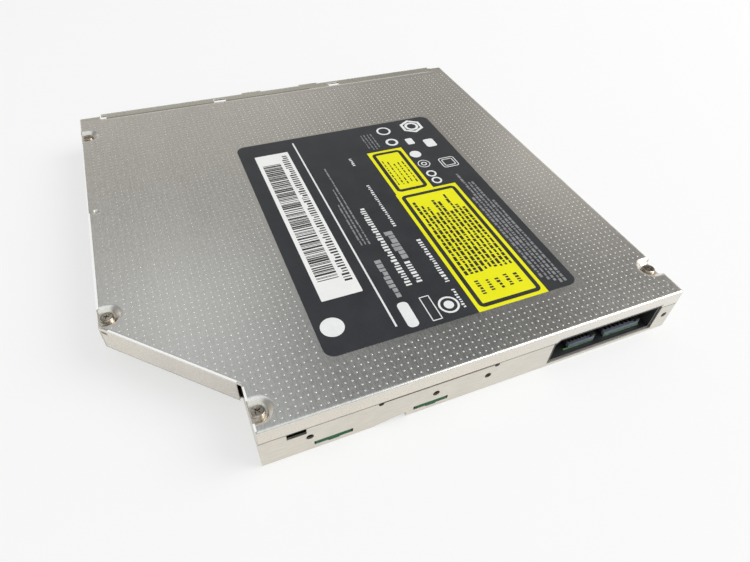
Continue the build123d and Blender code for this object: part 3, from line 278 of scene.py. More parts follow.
# painted reflection: the blunt ends of the socket's two tongues are lightened grey-blue for the sky that they
# reflect
socketReflectionZones = tuple(makeZone((6.0, 6.6, 8.0), 0.05, X=reach, Y=(62.2, 63.1), Z=(2.35, 3.65))
                    for reach in ((-42.15, -34.55), (-55.75, -45.05)))
finishSettings = {
    "cover_steel": {"dark": (0.71, 0.685, 0.645), "light": (0.86, 0.835, 0.79), "metal": 1.0, "fine": 3000,
                    "stretch": (1, 0.3, 1), "broad": 70, "broadStretch": (1, 0.3, 1), "clouds": 0.25,
                    "roughness": (0.22, 0.28), "bump": 0.1, "depth": 0.01, "rounding": 0.7,
                    "zones": coverTintAndShadeZones},
    "wall_steel": {"dark": (0.64, 0.608, 0.545), "light": (0.76, 0.727, 0.66), "metal": 0.85, "fine": 2200,
                   "stretch": (0.12, 0.12, 1), "broad": 90, "clouds": 0.35, "roughness": (0.28, 0.42),
                   "bump": 0.15, "depth": 0.008, "zones": wallZones},
    "label_print": {"dark": (0.026, 0.027, 0.031), "light": (0.038, 0.039, 0.044), "gloss": 0.35,
                    "fine": 3500, "broad": 150, "roughness": (0.34, 0.46), "bump": 0.1, "depth": 0.004},
    "sticker_paper": {"dark": (0.86, 0.855, 0.84), "light": (0.93, 0.925, 0.91), "fine": 3000, "broad": 200,
                      "roughness": (0.45, 0.6), "bump": 0.08, "depth": 0.005},
    "dark_screw": {"dark": (0.2, 0.165, 0.13), "light": (0.66, 0.59, 0.5), "metal": 1.0, "fine": 2500,
                   "broad": 900, "roughness": (0.12, 0.2), "bump": 0.15, "depth": 0.01},
    "black_moulding": {"dark": (0.018, 0.019, 0.02), "light": (0.034, 0.035, 0.037), "fine": 6000,
                       "broad": 400, "roughness": (0.36, 0.5), "bump": 0.15, "depth": 0.01,
                       "zones": socketReflectionZones},
    "felt": {"dark": (0.008, 0.008, 0.009), "light": (0.045, 0.045, 0.048), "fine": 5200,
             "stretch": (1, 0.25, 1), "broad": 300, "roughness": (0.9, 1.0), "bump": 0.9, "depth": 0.08,
             "sheen": 0.35, "gloss": 0.1},
    "contact_gold": {"dark": (0.72, 0.52, 0.22), "light": (0.88, 0.70, 0.36), "metal": 1.0, "fine": 3000,
                     "stretch": (1, 0.1, 1), "broad": 600, "roughness": (0.2, 0.34), "bump": 0.1,
                     "depth": 0.005, "zones": bladeShadeZones},
    "chip_black": {"dark": (0.03, 0.03, 0.033), "light": (0.065, 0.065, 0.07), "fine": 4200, "broad": 500,
                   "roughness": (0.55, 0.72), "bump": 0.35, "depth": 0.01},
    "connector_cream": {"dark": (0.66, 0.62, 0.52), "light": (0.80, 0.77, 0.68), "fine": 4000, "broad": 300,
                        "roughness": (0.42, 0.56), "bump": 0.12, "depth": 0.008},
    "inner_steel": {"dark": (0.50, 0.50, 0.49), "light": (0.70, 0.70, 0.69), "metal": 1.0, "fine": 2400,
                    "stretch": (0.08, 1, 1), "broad": 120, "clouds": 0.4, "roughness": (0.26, 0.4),
                    "bump": 0.2, "depth": 0.01},
    "diecast": {"dark": (0.40, 0.41, 0.42), "light": (0.60, 0.61, 0.62), "metal": 0.9, "fine": 3600,
                "broad": 260, "roughness": (0.42, 0.6), "bump": 0.5, "depth": 0.02},
    "rubber": {"dark": (0.025, 0.025, 0.026), "light": (0.06, 0.06, 0.062), "fine": 3000, "broad": 400,
               "roughness": (0.78, 0.92), "bump": 0.3, "depth": 0.015, "gloss": 0.25},
    "bright_steel": {"dark": (0.62, 0.62, 0.64), "light": (0.78, 0.78, 0.80), "metal": 1.0, "fine": 3200,
                     "stretch": (0.2, 0.2, 1), "broad": 500, "roughness": (0.12, 0.24), "bump": 0.08,
                     "depth": 0.005},
    "grey_moulding": {"dark": (0.24, 0.25, 0.27), "light": (0.34, 0.35, 0.37), "fine": 5000, "broad": 300,
                      "roughness": (0.4, 0.54), "bump": 0.15, "depth": 0.01},
    "white_acetal": {"dark": (0.78, 0.77, 0.72), "light": (0.88, 0.87, 0.83), "fine": 4000, "broad": 220,
                     "roughness": (0.36, 0.48), "bump": 0.1, "depth": 0.008},
    "brown_acetal": {"dark": (0.20, 0.13, 0.08), "light": (0.36, 0.25, 0.17), "fine": 4000, "broad": 300,
                     "roughness": (0.36, 0.48), "bump": 0.1, "depth": 0.008},
}

boardSettings = {
    "mask": (0.002, 0.10, 0.042),
    "track": (0.008, 0.20, 0.085),
    "shade": (0.002, 0.03, 0.015),
    "gloss": 0.25,
    "trackPitch": 0.5,
    "trackWidth": 0.12,  # in pitches, as are the length and height
    "trackLength": 6.5,
    "trackHeight": 1.0,
    "trackOffset": 0.37,
    "trackRelief": (0.3, 0.02),
    "clouds": 240,
    "cloudDetail": 2.0,
    "cloudStops": (0.42, 0.52),
    "cloudShare": 0.25,
    "weave": 2200,
    "weaveStretch": (1, 1, 0.2),
    "roughness": (0.4, 0.55),
}


def makeBoardFinish(settings):
    # solder mask with lighter copper tracks under it, in both directions
    finish, tree, shader = startFinish("board_green", settings)
    coords = tree.nodes.new("ShaderNodeTexCoord")
    tracks = tree.nodes.new("ShaderNodeTexBrick")
    tracks.inputs["Color1"].default_value = (*settings["mask"], 1)
    tracks.inputs["Color2"].default_value = (*settings["mask"], 1)
    tracks.inputs["Mortar"].default_value = (*settings["track"], 1)
    tracks.inputs["Scale"].default_value = 1 / (settings["trackPitch"] * mm)
    tracks.inputs["Mortar Size"].default_value = settings["trackWidth"]
    tracks.inputs["Brick Width"].default_value = settings["trackLength"]
    tracks.inputs["Row Height"].default_value = settings["trackHeight"]
    tracks.offset = settings["trackOffset"]
    tree.links.new(coords.outputs["Object"], tracks.inputs["Vector"])
    clouds = addGrain(tree, settings["clouds"], detail=settings["cloudDetail"])
    shadeStop, clearStop = settings["cloudStops"]
    shade = addTones(tree, clouds, ((shadeStop, settings["shade"]), (clearStop, (1, 1, 1))))
    mix = addFilter(tree, tracks.outputs["Color"], settings["cloudShare"])
    tree.links.new(shade, mix.inputs["B"])
    tree.links.new(mix.outputs["Result"], shader.inputs["Base Color"])
    weave = addGrain(tree, settings["weave"], settings["weaveStretch"])
    tree.links.new(addSpread(tree, weave, *settings["roughness"]), shader.inputs["Roughness"])
    addBump(tree, shader, tracks.outputs["Fac"], *settings["trackRelief"])
    return finish


lensSettings = {
    "edge": (0.30, 0.38, 0.62),
    "middle": (0.62, 0.72, 0.88),
    "stops": (0.2, 0.9),
    "facing": 0.4,
    "gloss": 0.8,
    "dust": 4000,
    "roughness": (0.03, 0.07),
    "transmission": 0.8,
    "refraction": 1.5,
}


def makeLensFinish(settings):
    # coated glass: bluer where it is seen from the side
    finish, tree, shader = startFinish("lens_glass", settings)
    facing = tree.nodes.new("ShaderNodeLayerWeight")
    facing.inputs["Blend"].default_value = settings["facing"]
    tones = tuple(zip(settings["stops"], (settings["middle"], settings["edge"])))
    tree.links.new(addTones(tree, facing.outputs["Facing"], tones), shader.inputs["Base Color"])
    dust = addGrain(tree, settings["dust"])
    tree.links.new(addSpread(tree, dust, *settings["roughness"]), shader.inputs["Roughness"])
    shader.inputs["Transmission Weight"].default_value = settings["transmission"]
    shader.inputs["IOR"].default_value = settings["refraction"]
    return finish


finishes = {slot: makeFinish(slot, settings) for slot, settings in finishSettings.items()}
finishes["board_green"] = makeBoardFinish(boardSettings)
finishes["lens_glass"] = makeLensFinish(lensSettings)


def dress(piece, finish):
    if not piece.material_slots:
        piece.data.materials.append(finish)
    for slot in piece.material_slots:
        slot.material = finish


for part in frame["record"]["subparts"]:
    dress(nodes[part["node"]], finishes[part["material_slot"]])


# Print on the cover: fields of colour, bars, rings and frames in thin films

labelTop = 12.64
cornerSteps = 5


def shapeFilm(piece, thickness, corner, line):
    # rounds the corners of a flat face, opens its middle if it is a frame, and gives it thickness
    pickOnly(piece)
    bpy.ops.object.mode_set(mode="EDIT")
    bpy.ops.mesh.select_mode(type="VERT")
    bpy.ops.mesh.select_all(action="SELECT")
    if corner:
        bpy.ops.mesh.bevel(offset=corner * mm, segments=cornerSteps, affect="VERTICES")
    bpy.ops.mesh.select_mode(type="FACE")
    bpy.ops.mesh.select_all(action="SELECT")
    if line:
        bpy.ops.mesh.inset(thickness=line * mm)
        bpy.ops.mesh.delete(type="FACE")
        bpy.ops.mesh.select_all(action="SELECT")
    bpy.ops.mesh.extrude_region_move(TRANSFORM_OT_translate={"value": (0, 0, thickness * mm)})
    bpy.ops.mesh.select_all(action="SELECT")
    bpy.ops.mesh.normals_make_consistent(inside=False)
    bpy.ops.object.mode_set(mode="OBJECT")
    return piece


def addFilm(name, low, high, bottom, thickness, corner=0, line=0):
    clearSelection()
    middle = ((low[0] + high[0]) / 2 * mm, (low[1] + high[1]) / 2 * mm, bottom * mm)
    bpy.ops.mesh.primitive_plane_add(size=1, location=middle)
    piece = nameNew(name)
    piece.scale = ((high[0] - low[0]) * mm, (high[1] - low[1]) * mm, 1)
    settle(piece)
    return shapeFilm(piece, thickness, corner, line)


def addRing(name, centre, radius, bottom, thickness, line, sides):
    clearSelection()
    middle = (centre[0] * mm, centre[1] * mm, bottom * mm)
    bpy.ops.mesh.primitive_circle_add(vertices=sides, radius=radius * mm, fill_type="NGON", location=middle)
    piece = nameNew(name)
    settle(piece)
    return shapeFilm(piece, thickness, 0, line)


def addStrips(name, strips, bottom, thickness):
    # one strip is modelled, then copied, stretched and turned to every place, and all are joined
    first = addFilm(name + "_first", (-0.5, -0.5), (0.5, 0.5), 0, 1)
    copies = []
    for (x, y), length, width, turn in strips:
        size = Matrix.Diagonal((length, width, thickness, 1))
        turned = Matrix.Rotation(math.radians(turn), 4, "Z")
        place = Matrix.Translation((x * mm, y * mm, bottom * mm))
        copies.append(copyPiece(first, name + "_copy", place @ turned @ size))
    bpy.data.objects.remove(first)
    return joinPieces(name, copies)


def addBars(name, bars, bottom, thickness):
    strips = [(((x0 + x1) / 2, (y0 + y1) / 2), x1 - x0, y1 - y0, 0) for x0, x1, y0, y1 in bars]
    return addStrips(name, strips, bottom, thickness)


barReaches = (1, 1, 0.74)


def splitRow(x, width, start, stop, shortest, longest, gap):
    # bars of chance length one behind another, some of them narrower
    bars = []
    here = start
    while here < stop - shortest:
        end = min(here + random.uniform(shortest, longest), stop)
        reach = width * random.choice(barReaches)
        bars.append((x - width / 2, x - width / 2 + reach, here, end))
        here = end + gap
    return bars


def splitRows(rows):
    return [bar for row in rows for bar in splitRow(*row)]


ink = {"gloss": 0.25, "fine": 3000, "broad": 300, "roughness": (0.4, 0.52), "bump": 0.06, "depth": 0.004}
inks = {
    "white": {"dark": (0.80, 0.80, 0.80), "light": (0.90, 0.90, 0.90)},
    "grey": {"dark": (0.21, 0.21, 0.215), "light": (0.3, 0.3, 0.305)},
    "yellow": {"dark": (0.84, 0.81, 0.006), "light": (0.92, 0.89, 0.01), "broad": 120,
               "roughness": (0.38, 0.5)},
    "black": {"dark": (0.022, 0.022, 0.02), "light": (0.04, 0.04, 0.036)},
    "soft_white": {"dark": (0.28, 0.28, 0.285), "light": (0.42, 0.42, 0.425), "broad": 500},
}
prints = {name: makeFinish(name + "_print", {**ink, **tones}) for name, tones in inks.items()}


def putOnCover(piece, finish):
    dress(piece, finish)
    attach(piece, "drive")


labelPrint = {
    "thickness": 0.02,
    "line": ((4.72, -27.5), (5.18, 50.3)),
    "whiteRows": (  # x, width, start, stop, shortest and longest bar, gap
        (-3.0, 1.5, 9.6, 40.2, 0.35, 0.8, 0.42),
        (-5.8, 1.45, 32.4, 40.3, 0.35, 0.8, 0.42),
        (-8.6, 0.85, 0.3, 19.5, 0.3, 0.6, 0.42),
        (-8.6, 0.8, -13.9, -9.8, 0.3, 0.6, 0.4),
        (-12.0, 1.15, 26.0, 42.0, 0.3, 0.7, 0.42),
        (-11.9, 0.8, 44.6, 50.8, 0.3, 0.6, 0.35)),
    "softRows": (
        (0.9, 1.6, 29.6, 43.6, 0.9, 1.5, 0.3),
        (-5.8, 2.2, 20.6, 31.8, 1.0, 1.6, 0.25)),
    "greyRows": (
        (2.3, 0.45, 6.0, 23.6, 0.6, 2.4, 0.3),
        (1.3, 0.45, -1.0, 23.6, 0.6, 2.4, 0.3),
        (0.2, 0.45, -11.3, 23.5, 0.6, 2.4, 0.3),
        (-16.4, 0.4, -25.0, -16.6, 0.5, 1.6, 0.3),
        (-17.5, 0.4, -25.0, -15.6, 0.5, 1.6, 0.3),
        (-18.6, 0.4, -25.0, -16.2, 0.5, 1.6, 0.3),
        (-19.7, 0.4, -25.0, -16.6, 0.5, 1.6, 0.3),
        (-34.2, 0.7, 15.2, 48.6, 0.4, 1.6, 0.3),
        (-35.4, 0.7, 3.6, 50.2, 0.4, 1.6, 0.3),
        (-36.6, 0.7, 8.4, 51.2, 0.4, 1.6, 0.3),
        (-37.8, 0.7, 8.4, 51.6, 0.4, 1.6, 0.3),
        (-39.0, 0.7, 18.0, 51.6, 0.4, 1.6, 0.3)),
    "rings": (  # centre, radius, line (0 is filled), sides
        ((-34.4, -25.3), 3.9, 0.85, 6),
        ((-34.4, -25.3), 2.3, 0.8, 20),
        ((-24.5, -25.3), 2.3, 0.6, 28),
        ((-24.4, -18.4), 2.0, 0.75, 28),
        ((-28.5, -9.9), 1.8, 0, 28),
        ((-28.7, -4.4), 1.9, 0.25, 28),
        ((-28.7, -4.4), 0.9, 0.35, 28),
        ((-28.5, 0.9), 1.55, 0.55, 28),
        ((-28.5, 4.4), 1.55, 0.55, 28),
        ((18.0, 45.6), 2.7, 0, 28),
        ((-8.8, 48.6), 2.5, 0.5, 28),
        ((-8.8, 48.6), 1.2, 0, 28)),
    "frames": (  # low, high, corner, line
        ((-38.8, -5.4), (-33.6, -0.4), 0.9, 0.28),
        ((-38.0, -4.6), (-34.4, -1.2), 0.5, 0.28),
        ((-5.7, 44.3), (-3.2, 51.8), 0.2, 0.25)),
    "plates": (  # low, high, corner
        ((-0.2, 44.2), (2.5, 51.8), 1.1),
        ((-31.2, -18.8), (-28.8, -15.4), 0.5),
        ((-37.4, -16.6), (-34.0, -12.2), 0.8)),
}


def printLabel(settings):
    lift = settings["thickness"]
    white = [addFilm("label_line", *settings["line"], labelTop, lift)]
    for number, (low, high, corner, line) in enumerate(settings["frames"]):
        white.append(addFilm("label_frame_%d" % number, low, high, labelTop, lift, corner, line))
    for number, (low, high, corner) in enumerate(settings["plates"]):
        white.append(addFilm("label_plate_%d" % number, low, high, labelTop, lift, corner))
    for number, (centre, radius, line, sides) in enumerate(settings["rings"]):
        white.append(addRing("label_ring_%d" % number, centre, radius, labelTop, lift, line, sides))
    white.append(addBars("label_white_bars", splitRows(settings["whiteRows"]), labelTop, lift))
    putOnCover(joinPieces("label_white_marks", white), prints["white"])
    bars = addBars("label_soft_bars", splitRows(settings["softRows"]), labelTop, lift)
    putOnCover(bars, prints["soft_white"])
    bars = addBars("label_small_rows", splitRows(settings["greyRows"]), labelTop, lift)
    putOnCover(bars, prints["grey"])


yellowPanels = {
    "thickness": 0.015,
    "print": 0.012,
    "fields": (((-32.9, 7.2), (-14.2, 53.1)), ((-25.9, -14.8), (-14.5, 7.2))),
    "inset": 0.95,
    "line": 1.1,
    "corner": 1.4,
    "rows": (  # start x, pitch, rows, width, start, stop, shortest, longest, gap
        (-29.7, 1.36, 10, 0.82, 10.8, 41.8, 0.5, 2.0, 0.24),
        (-28.6, 2.55, 5, 1.0, 44.0, 48.6, 0.4, 0.7, 0.3),
        (-22.9, 1.42, 5, 0.42, -10.6, 3.2, 0.4, 1.6, 0.44)),
    "ragged": 0.25,  # the most that a row may start late, as a share of its length
}


def printYellowPanels(settings):
    lift = settings["thickness"]
    fields = [addFilm("label_field_%d" % number, low, high, labelTop, lift)
              for number, (low, high) in enumerate(settings["fields"])]
    putOnCover(joinPieces("label_yellow_fields", fields), prints["yellow"])
    inset = settings["inset"]
    dark = []
    for number, (low, high) in enumerate(settings["fields"]):
        inner = ((low[0] + inset, low[1] + inset), (high[0] - inset, high[1] - inset))
        dark.append(addFilm("label_border_%d" % number, *inner, labelTop + lift, settings["print"],
                            settings["corner"], settings["line"]))
    bars = []
    for x, pitch, count, width, start, stop, shortest, longest, gap in settings["rows"]:
        for row in range(count):
            late = random.uniform(0, settings["ragged"]) * (stop - start)
            bars += splitRow(x + row * pitch, width, start + late, stop, shortest, longest, gap)
    dark.append(addBars("label_panel_bars", bars, labelTop + lift, settings["print"]))
    putOnCover(joinPieces("label_panel_print", dark), prints["black"])


printLabel(labelPrint)
printYellowPanels(yellowPanels)
print("label printed")


stickerSettings = {
    "low": (7.8, -23.4),
    "high": (17.8, 37.9),
    "bottom": labelTop,
    "thickness": 0.035,
    "corner": 0.25,
    "print": 0.015,
    "code": {"x0": 11.5, "x1": 16.7, "start": -18.0, "stop": 32.0},
    "codeWidths": (0.16, 0.256, 0.434, 0.62),
    "codeGaps": (0.16, 0.288, 0.496),
    "row": (9.6, 1.9, -21.6, 34.2, 0.28, 0.66, 0.5),
}


def addSticker(settings):
    film = addFilm("barcode_label", settings["low"], settings["high"], settings["bottom"],
                   settings["thickness"], settings["corner"])
    dress(film, finishes["sticker_paper"])
    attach(film, "drive")
    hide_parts("barcode_sticker")
    code = settings["code"]
    bars = []
    here = code["start"]
    while here < code["stop"]:
        width = random.choice(settings["codeWidths"])
        bars.append((code["x0"], code["x1"], here, here + width))
        here += width + random.choice(settings["codeGaps"])
    bars += splitRow(*settings["row"])
    top = settings["bottom"] + settings["thickness"]
    putOnCover(addBars("barcode_bars", bars, top, settings["print"]), prints["black"])


addSticker(stickerSettings)
print("sticker printed")


# Cover: raised dots, paler and less metallic than the cover's steel: a painted highlight for their glints

dotSettings = {
    "radius": 0.22,
    "rings": ((0.72, 0.042), (0.5, 0.025), (0.3, 0.005)),  # share of the ring before, rise
    "sides": 8,
    "pitch": 1.52,
    "start": (-61.72, -57.2),
    "count": (82, 80),
    "coverTop": 12.56,
    "edge": 1.0,  # kept free of dots around the label and along the cover's edges
    "foldEdge": 1.4,
    "label": ((-41.6, -30.0), (21.9, 53.1)),
    "seats": (  # the screws' seats and, last, the pressed pip
        (62.15, -51.2), (62.15, 25.6), (37.85, 59.6), (-61.85, 55.0), (61.95, -12.1)),
    "seatRadius": 3.6,
    "right": 64.0,
    "rear": 64.5,
    "stepX": 39.45,
    "stepY": 52.95,
    "cutStart": 28.4,
}
# painted highlight: the dots' finish is paler and half diffuse, so they look brighter than the steel they are
# pressed from
dotGlintFinish = {"dark": (0.88, 0.875, 0.86), "light": (0.94, 0.935, 0.92), "metal": 0.5, "fine": 4000,
             "broad": 300, "roughness": (0.26, 0.34), "bump": 0.05, "depth": 0.004, "zones": dotShadeZones}


def dotIsBare(x, y, settings):
    # true where the cover has no raised dot
    edge = settings["edge"]
    low, high = settings["label"]
    onLabel = low[0] - edge < x < high[0] + edge and low[1] - edge < y < high[1] + edge
    reach = settings["seatRadius"]
    nearSeat = any(math.hypot(x - seatX, y - seatY) < reach for seatX, seatY in settings["seats"])
    foldX = settings["right"] - max(0, y - settings["cutStart"])
    if y > settings["stepY"]:
        foldX = settings["stepX"]
    return onLabel or nearSeat or x > foldX - settings["foldEdge"] or y > settings["rear"] - edge


def addDots(settings):
    clearSelection()
    x0, y0 = settings["start"]
    pitch = settings["pitch"]
    middle = (x0 * mm, y0 * mm, settings["coverTop"] * mm)
    bpy.ops.mesh.primitive_circle_add(vertices=settings["sides"], radius=settings["radius"] * mm,
                                      fill_type="NGON", location=middle)
    dots = nameNew("cover_dots")
    settle(dots)
    bpy.ops.object.mode_set(mode="EDIT")
    bpy.ops.mesh.select_all(action="SELECT")
    for share, rise in settings["rings"]:
        bpy.ops.mesh.extrude_region_move(TRANSFORM_OT_translate={"value": (0, 0, rise * mm)})
        bpy.ops.transform.resize(value=(share, share, 1))
    bpy.ops.object.mode_set(mode="OBJECT")
    for axis, count in enumerate(settings["count"]):
        spread = dots.modifiers.new("row", "ARRAY")
        spread.count = count
        spread.use_relative_offset = False
        spread.use_constant_offset = True
        step = [0, 0, 0]
        step[axis] = pitch * mm
        spread.constant_offset_displace = step
    applyModifiers(dots)
    bpy.ops.object.mode_set(mode="EDIT")
    bpy.ops.mesh.select_mode(type="VERT")
    bpy.ops.object.mode_set(mode="OBJECT")
    for vertex in dots.data.vertices:
        x = x0 + round((vertex.co.x / mm - x0) / pitch) * pitch
        y = y0 + round((vertex.co.y / mm - y0) / pitch) * pitch
        vertex.select = dotIsBare(x, y, settings)
    bpy.ops.object.mode_set(mode="EDIT")
    bpy.ops.mesh.delete(type="VERT")
    bpy.ops.mesh.select_all(action="SELECT")
    bpy.ops.mesh.normals_make_consistent(inside=False)
    bpy.ops.object.mode_set(mode="OBJECT")
    bpy.ops.object.shade_smooth()
    dress(dots, makeFinish("cover_dot_glint", dotGlintFinish))
    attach(dots, "drive")


addDots(dotSettings)
print("cover dots done")


# Cover: painted highlights, near-white strips where the sheet folds over at the side, the cut corner and the
# step, for the light that the bends catch

foldHighlightSettings = {
    "strips": (  # middle, length along the fold, width, turn
        ((63.84, -29.5), 35.0, 0.26, 90),
        ((63.72, 5.6), 35.0, 0.5, 90),
        ((51.07, 40.97), 31.2, 0.45, -45),
        ((39.22, 55.3), 3.4, 0.4, 90),
        ((39.22, 63.05), 1.7, 0.4, 90)),
    "bottom": 12.555,
    "thickness": 0.02,
}
# painted highlight: the fold strips are near-white
foldHighlightFinish = {"dark": (0.95, 0.95, 0.94), "light": (0.98, 0.98, 0.97), "fine": 3000, "broad": 300,
              "roughness": (0.25, 0.35), "bump": 0.03, "depth": 0.004}


def addFoldHighlights(settings):
    lines = addStrips("cover_fold_highlights", settings["strips"], settings["bottom"], settings["thickness"])
    putOnCover(lines, makeFinish("painted_fold_highlight", foldHighlightFinish))


addFoldHighlights(foldHighlightSettings)
print("fold lines done")


# Cover: four screws with cross recesses

screwSettings = {
    "places": ((62.15, -51.2, 12), (62.15, 25.6, 70), (37.85, 59.6, 38), (-61.85, 55.0, 20)),  # x, y, turn
    "seat": 11.76,
    "sides": 40,
    "radius": 1.45,
    "height": 0.5,
    "dome": 0.28,
    "domeSteps": 5,
    "shankRadius": 0.75,
    "shankLength": 1.6,
    "recessWidth": 0.34,
    "recessLength": 1.75,
    "recessDepth": 0.36,
    "recessTaper": 0.55,
    "smoothAngle": 30,
}


nearlyLevel = 0.9


def facesUp(normal):
    return normal.z > nearlyLevel


def facesDown(normal):
    return normal.z < -nearlyLevel


def addHead(settings):
    # a domed disc with a plain shank under it
    clearSelection()
    height = settings["height"] * mm
    middle = (0, 0, settings["seat"] * mm + height / 2)
    bpy.ops.mesh.primitive_cylinder_add(vertices=settings["sides"], radius=settings["radius"] * mm,
                                        depth=height, location=middle)
    head = nameNew("screw_head")
    settle(head)
    selectFaces(head, facesUp)
    bpy.ops.mesh.bevel(offset=settings["dome"] * mm, segments=settings["domeSteps"], affect="EDGES")
    selectFaces(head, facesDown)
    bpy.ops.mesh.inset(thickness=(settings["radius"] - settings["shankRadius"]) * mm)
    bpy.ops.mesh.extrude_region_move(TRANSFORM_OT_translate={"value": (0, 0, -settings["shankLength"] * mm)})
    bpy.ops.mesh.select_all(action="SELECT")
    bpy.ops.mesh.normals_make_consistent(inside=False)
    bpy.ops.object.mode_set(mode="OBJECT")
    return head


def addCutter(settings, turn):
    # one bar of the cross, narrower toward its bottom
    clearSelection()
    seat = settings["seat"] * mm
    bpy.ops.mesh.primitive_cube_add(size=1, location=(0, 0, seat + settings["height"] * mm))
    cutter = nameNew("recess_%d" % turn)
    cutter.scale = (settings["recessLength"] * mm, settings["recessWidth"] * mm,
                    2 * settings["recessDepth"] * mm)
    cutter.rotation_euler = (0, 0, math.radians(turn))
    settle(cutter)
    selectFaces(cutter, facesDown)
    taper = settings["recessTaper"]
    bpy.ops.transform.resize(value=(taper, taper, 1), center_override=(0, 0, seat))
    bpy.ops.object.mode_set(mode="OBJECT")
    return cutter


def addScrews(settings):
    head = addHead(settings)
    for turn in (0, 90):
        cutter = addCutter(settings, turn)
        cut = head.modifiers.new("recess", "BOOLEAN")
        cut.object = cutter
        cut.operation = "DIFFERENCE"
        cut.solver = "EXACT"
        applyModifiers(head)
        bpy.data.objects.remove(cutter)
    pickOnly(head)
    bpy.ops.object.shade_smooth_by_angle(angle=math.radians(settings["smoothAngle"]))
    heads = []
    for x, y, turn in settings["places"]:
        place = Matrix.Translation((x * mm, y * mm, 0)) @ Matrix.Rotation(math.radians(turn), 4, "Z")
        heads.append(copyPiece(head, "screw_copy", place))
    bpy.data.objects.remove(head)
    screws = joinPieces("cross_screws", heads)
    dress(screws, finishes["dark_screw"])
    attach(screws, "drive")
    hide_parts("cover_screws")


addScrews(screwSettings)
print("screws done")


# Socket: the edge of the board shows as a thin line under the tongues

boardEdgeSettings = {
    "stretches": ((-56.2, -45.1), (-42.2, -33.4)),
    "rear": (62.75, 63.05),
    "bottom": 2.0,
    "height": 0.26,
    "corner": 0.08,
}
edgeFinish = {"dark": (0.01, 0.12, 0.04), "light": (0.22, 0.5, 0.2), "gloss": 0.4, "fine": 1800, "broad": 700,
              "roughness": (0.3, 0.45), "bump": 0.1, "depth": 0.01}


def addBoardEdge(settings):
    y0, y1 = settings["rear"]
    strips = [addFilm("edge_strip_%d" % number, (x0, y0), (x1, y1), settings["bottom"], settings["height"],
                      settings["corner"]) for number, (x0, x1) in enumerate(settings["stretches"])]
    edge = joinPieces("board_edge_strips", strips)
    dress(edge, makeFinish("board_edge_green", edgeFinish))
    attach(edge, "drive")


addBoardEdge(boardEdgeSettings)
print("board edge done")


# Studio: a pale floor, one soft lamp, and a sky with soft patches for the steel to reflect

studioSettings = {
    "floorSize": 4.0,
    "floorTone": (0.93, 0.93, 0.925),
    "floorRoughness": 0.9,
    "floorGloss": 0.1,
    "floorGlow": (0.98, 0.98, 0.978),
    "glowShare": 0.6,
    "skyTones": ((0.0, (1.0, 1.0, 0.995)), (0.16, (0.98, 0.97, 0.95)), (0.34, (0.48, 0.463, 0.43)),
                 (0.49, (0.52, 0.506, 0.48)), (0.58, (0.32, 0.316, 0.306)), (0.67, (0.33, 0.34, 0.343)),
                 (0.78, (0.285, 0.3, 0.308)), (1.0, (0.22, 0.234, 0.242))),
    "sideTurn": (0.55, -0.83, 0.0),  # the sky is a little darker this way
    "sideReach": 0.6,
    "sideTones": (1.12, 0.98),
    "lamps": (  # name, place, width, power, tone
        ("key_lamp", (-0.9, 0.3, 0.95), 1.0, 10.4, (1, 0.99, 0.98)),),
    "skyPatches": (  # way to its middle, the nearness where it starts and where it is full, share there
        ((0.05, 0.15, 0.99), 0.80, 0.87, 3.6),
        ((0.09, -0.66, 0.75), 0.972, 0.996, 1.85),
        ((-0.1, -0.62, 0.78), 0.96, 0.99, 1.22),
        ((-0.42, -0.53, 0.74), 0.945, 0.997, 0.3),
        ((-0.68, -0.42, 0.60), 0.965, 0.995, 0.5),
        ((-0.48, -0.75, 0.45), 0.96, 0.993, 0.7),
        ((-0.61, -0.58, 0.54), 0.98, 0.995, 2.1)),
}


def addFloor(settings):
    clearSelection()
    bpy.ops.mesh.primitive_plane_add(size=settings["floorSize"])
    floor = nameNew("studio_floor")
    finish = bpy.data.materials.new("floor_paper")
    finish.use_nodes = True
    tree = finish.node_tree
    paper = tree.nodes["Principled BSDF"]
    paper.inputs["Base Color"].default_value = (*settings["floorTone"], 1)
    paper.inputs["Roughness"].default_value = settings["floorRoughness"]
    paper.inputs["Specular IOR Level"].default_value = settings["floorGloss"]
    glow = tree.nodes.new("ShaderNodeEmission")
    glow.inputs["Color"].default_value = (*settings["floorGlow"], 1)
    path = tree.nodes.new("ShaderNodeLightPath")
    seen = addMath(tree, "MAXIMUM", path.outputs["Is Camera Ray"], path.outputs["Is Glossy Ray"])
    seen = addMath(tree, "MAXIMUM", seen, path.outputs["Is Transmission Ray"])
    mix = tree.nodes.new("ShaderNodeMixShader")
    tree.links.new(addMath(tree, "MULTIPLY", seen, settings["glowShare"]), mix.inputs["Fac"])
    tree.links.new(paper.outputs["BSDF"], mix.inputs[1])
    tree.links.new(glow.outputs["Emission"], mix.inputs[2])
    tree.links.new(mix.outputs["Shader"], tree.nodes["Material Output"].inputs["Surface"])
    floor.data.materials.append(finish)


def addFacing(tree, source, direction):
    # how far the source points the given way
    facing = tree.nodes.new("ShaderNodeVectorMath")
    facing.operation = "DOT_PRODUCT"
    facing.inputs[1].default_value = direction
    tree.links.new(source, facing.inputs[0])
    return facing.outputs["Value"]


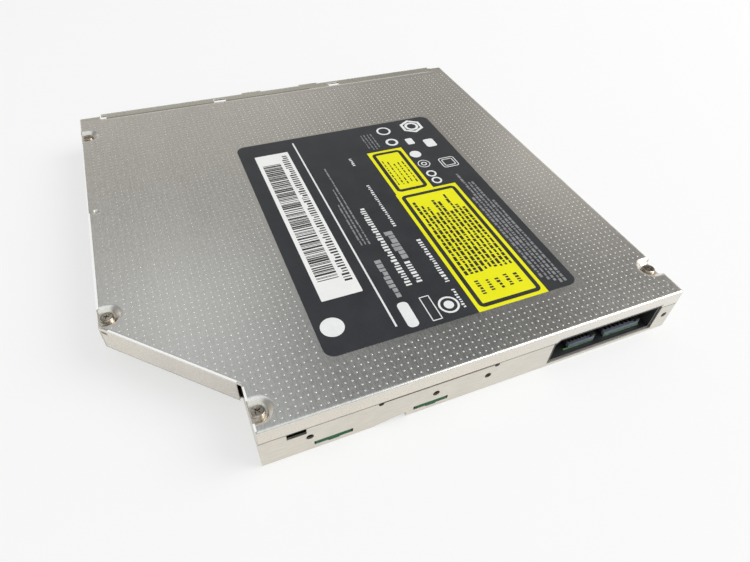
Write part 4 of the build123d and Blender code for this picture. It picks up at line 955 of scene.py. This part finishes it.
def addWorld(settings):
    world = bpy.data.worlds.new("studio_world")
    bpy.context.scene.world = world
    world.use_nodes = True
    tree = world.node_tree
    sky = tree.nodes["Background"]
    coords = tree.nodes.new("ShaderNodeTexCoord")
    split = tree.nodes.new("ShaderNodeSeparateXYZ")
    tree.links.new(coords.outputs["Generated"], split.inputs["Vector"])
    tones = addTones(tree, split.outputs["Z"], settings["skyTones"])
    side = addFacing(tree, coords.outputs["Generated"], settings["sideTurn"])
    reach = settings["sideReach"]
    strength = addSpread(tree, side, *settings["sideTones"], -reach, reach)
    for middle, start, full, share in settings["skyPatches"]:
        near = addFacing(tree, coords.outputs["Generated"], Vector(middle).normalized())
        strength = addMath(tree, "MULTIPLY", strength, addSpread(tree, near, 1, share, start, full))
    tree.links.new(tones, sky.inputs["Color"])
    tree.links.new(strength, sky.inputs["Strength"])


def addLamps(settings):
    for name, place, width, power, tone in settings["lamps"]:
        data = bpy.data.lights.new(name, "AREA")
        data.shape = "DISK"
        data.size = width
        data.energy = power
        data.color = tone
        lamp = bpy.data.objects.new(name, data)
        lamp.location = place
        lamp.rotation_euler = (-Vector(place)).to_track_quat("-Z", "Y").to_euler()
        bpy.context.scene.collection.objects.link(lamp)


cameraSettings = {  # solved from the casing's corners in the photograph; the clip distances are in metres
    "place": (42.24, 117.10, 103.52),
    "forward": (-0.29936, -0.63559, -0.71162),
    "right": (-0.92186, 0.38503, 0.04391),
    "down": (0.24609, 0.66916, -0.70119),
    "lens": 26.235,
    "sensor": 36.0,
    "clip": (0.005, 20.0),
}


def addCamera(settings):
    data = bpy.data.cameras.new("photo_camera")
    data.lens = settings["lens"]
    data.sensor_width = settings["sensor"]
    data.sensor_fit = "HORIZONTAL"
    data.clip_start, data.clip_end = settings["clip"]
    camera = bpy.data.objects.new("photo_camera", data)
    right = Vector(settings["right"])
    up = -Vector(settings["down"])
    back = -Vector(settings["forward"])
    turn = Matrix((right, up, back)).transposed().to_4x4()
    camera.matrix_world = Matrix.Translation(Vector(settings["place"]) * mm) @ turn
    bpy.context.scene.collection.objects.link(camera)
    bpy.context.scene.camera = camera


addFloor(studioSettings)
addWorld(studioSettings)
addLamps(studioSettings)
addCamera(cameraSettings)
bpy.context.scene.view_settings.view_transform = "Standard"
print("studio ready")
